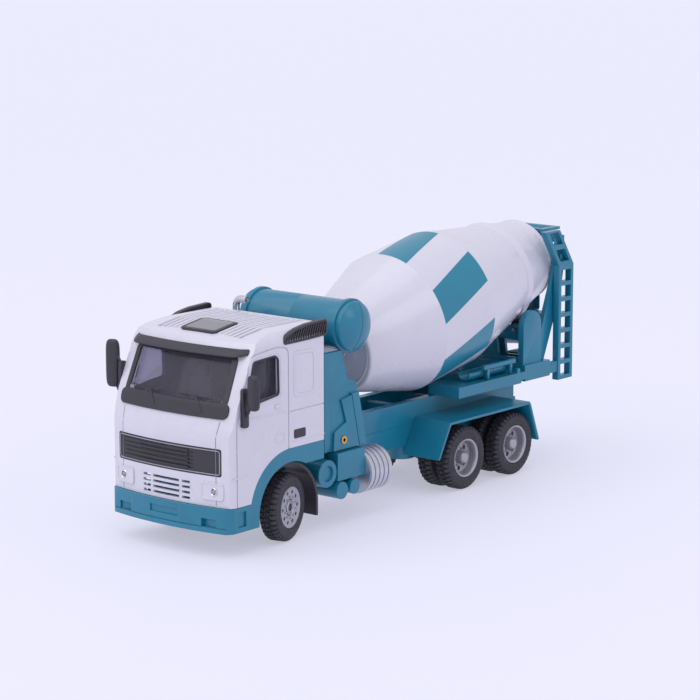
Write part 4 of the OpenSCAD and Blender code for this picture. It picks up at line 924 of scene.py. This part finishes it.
# ---------------------------------------------------------------- water tank
lo, hi = low("water_tank"), high("water_tank")
tank_x, tank_y, tank_z = [(a + b) / 2 for a, b in zip(lo, hi)]
half_l = (hi.x - lo.x) / 2
FLANGE, DOME = 0.5, 3.0
tank_r = (hi.z - lo.z) / 2 - FLANGE
dome_r = ((tank_r - 0.4) ** 2 + DOME ** 2) / (2 * DOME)


def on_dome(angle):
    """(radius, along) on the domed end"""
    return dome_r * math.sin(angle), half_l - dome_r + dome_r * math.cos(angle)


rim_angle = math.asin((tank_r - 0.4) / dome_r)
end = [(0.02, half_l)] + [on_dome(rim_angle * k / 14) for k in range(1, 15)]
barrel, shoulder = tank_r - 0.2, half_l - DOME
half = end + [(tank_r - 0.35, shoulder - 0.25), (barrel, shoulder - 0.5), (barrel, shoulder - 1.5),
              (tank_r + 0.38, shoulder - 1.6), (tank_r + FLANGE, shoulder - 1.8),
              (tank_r + FLANGE, shoulder - 2.95), (tank_r + 0.38, shoulder - 3.15), (barrel, shoulder - 3.25),
              (barrel, 0.14)]
profile = half + [(barrel - 0.05, 0.0)] + [(r, -x) for r, x in half[::-1]]
bm = bmesh.new()
turned(bm, profile, Matrix.Translation(Vector((tank_x, tank_y, tank_z)) * MM), 120, closed=False)
tank = to_object("water_tank_shell", bm, TEAL, "lorry", smooth=28)
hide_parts("water_tank")

# Mould parting line over the domed ends
LINE_LEAN = math.radians(12)
line_angle = math.asin((tank_r - 0.6) / dome_r)
for side, tag in SIDES:
    line = []
    for k in range(-13, 14):
        r, x = on_dome(line_angle * k / 13)
        line.append((side * x, tank_y + r * math.sin(LINE_LEAN), tank_z + r * math.cos(LINE_LEAN)))
    tube("tank_parting_line_" + tag, line, 0.07, DARK)

# ---------------------------------------------------------------- lips on the rear mudguards
lip_y0, lip_y1, lip_z = AXLE2_Y - 9.9, AXLE3_Y + 7.7, high("rear_mudguards").z
lip = [(lip_y0 - 5.9, lip_z - 11.6), (lip_y0 + 0.25, lip_z - 0.45), (lip_y1 - 0.3, lip_z - 0.45),
       (lip_y1 + 4.9, lip_z - 14.1)]
for place, tag in FLANKS:
    strip("mudguard_lip_" + tag, [round_path(lip, 0.8, closed=False)], 0.85, -0.3, 0.18, place, TEAL,
          closed=False, edge=0.12)

# ---------------------------------------------------------------- floor, light and camera
# The photo's floor is a light table, so it glows a little, which also keeps the shadow pale
FLOOR_HALF, FLOOR_GAP, FLOOR_GLOW = 14, 0.02, 0.54
table = moulded("pale_floor", colour(164, 164, 175), rough=0.7, shade=0.004, grain=0.0, cloud_mm=300,
                rough_span=0.02)
table_surface = table.node_tree.nodes["Principled BSDF"]
table_surface.inputs["Emission Color"].default_value = colour(227, 227, 243)
table_surface.inputs["Emission Strength"].default_value = FLOOR_GLOW
bm = bmesh.new()
bmesh.ops.create_grid(bm, x_segments=8, y_segments=8, size=FLOOR_HALF)
floor = bpy.data.objects.new("floor", mesh_from(bm, "floor"))
floor.data.materials.append(table)
floor.location.z = CAD_BOX[0][2] - FLOOR_GAP * MM
collection.objects.link(floor)

world = bpy.data.worlds.new("studio")
world.use_nodes = True
sky = world.node_tree.nodes["Background"]
sky.inputs["Color"].default_value = (0.90, 0.90, 1.0, 1)
sky.inputs["Strength"].default_value = 0.82
bpy.context.scene.world = world


def lamp(kind, name, energy, place, target, size):
    """A lamp aimed at a target: size is a sun's angle in degrees, or an area's two sides in metres"""
    data = bpy.data.lights.new(name, kind)
    data.energy = energy
    data.color = (1, 0.985, 1)
    if kind == "AREA":
        data.shape = "RECTANGLE"
        data.size, data.size_y = size
    else:
        data.angle = math.radians(size)
    obj = bpy.data.objects.new(name, data)
    obj.location = place
    obj.rotation_euler = (Vector(target) - Vector(place)).to_track_quat("-Z", "Y").to_euler()
    collection.objects.link(obj)


lamp("SUN", "soft_sun", 0.95, (-0.2, -0.6, 1.6), (0, 0, 0), 70)
lamp("AREA", "softbox_front", 1.0, (-0.2, -0.75, 0.55), (0, -0.03, 0.03), (0.9, 0.5))
lamp("AREA", "softbox_side", 0.6, (0.75, 0.1, 0.55), (0, 0, 0.04), (0.4, 0.4))

# The photo's camera: its angles were solved from the photo, and its place is from the lorry's nose
camera_data = bpy.data.cameras.new("camera")
camera_data.lens = 134.2
camera_data.sensor_width = 36
camera_data.clip_end = 60
camera = bpy.data.objects.new("camera", camera_data)
azimuth, elevation, roll = math.radians(39.78), math.radians(10.56), math.radians(-0.08)
back = Vector((math.sin(azimuth) * math.cos(elevation), -math.cos(azimuth) * math.cos(elevation),
               math.sin(elevation)))
right = (-back).cross(UP).normalized()
up = right.cross(-back)
right, up = right * math.cos(roll) + up * math.sin(roll), up * math.cos(roll) - right * math.sin(roll)
pose = Matrix((right, up, back)).transposed().to_4x4()
pose.translation = Vector((538.3, NOSE_Y - 557.64, 205.88)) * MM
camera.matrix_world = pose
collection.objects.link(camera)
bpy.context.scene.camera = camera
bpy.context.scene.view_settings.view_transform = "Standard"
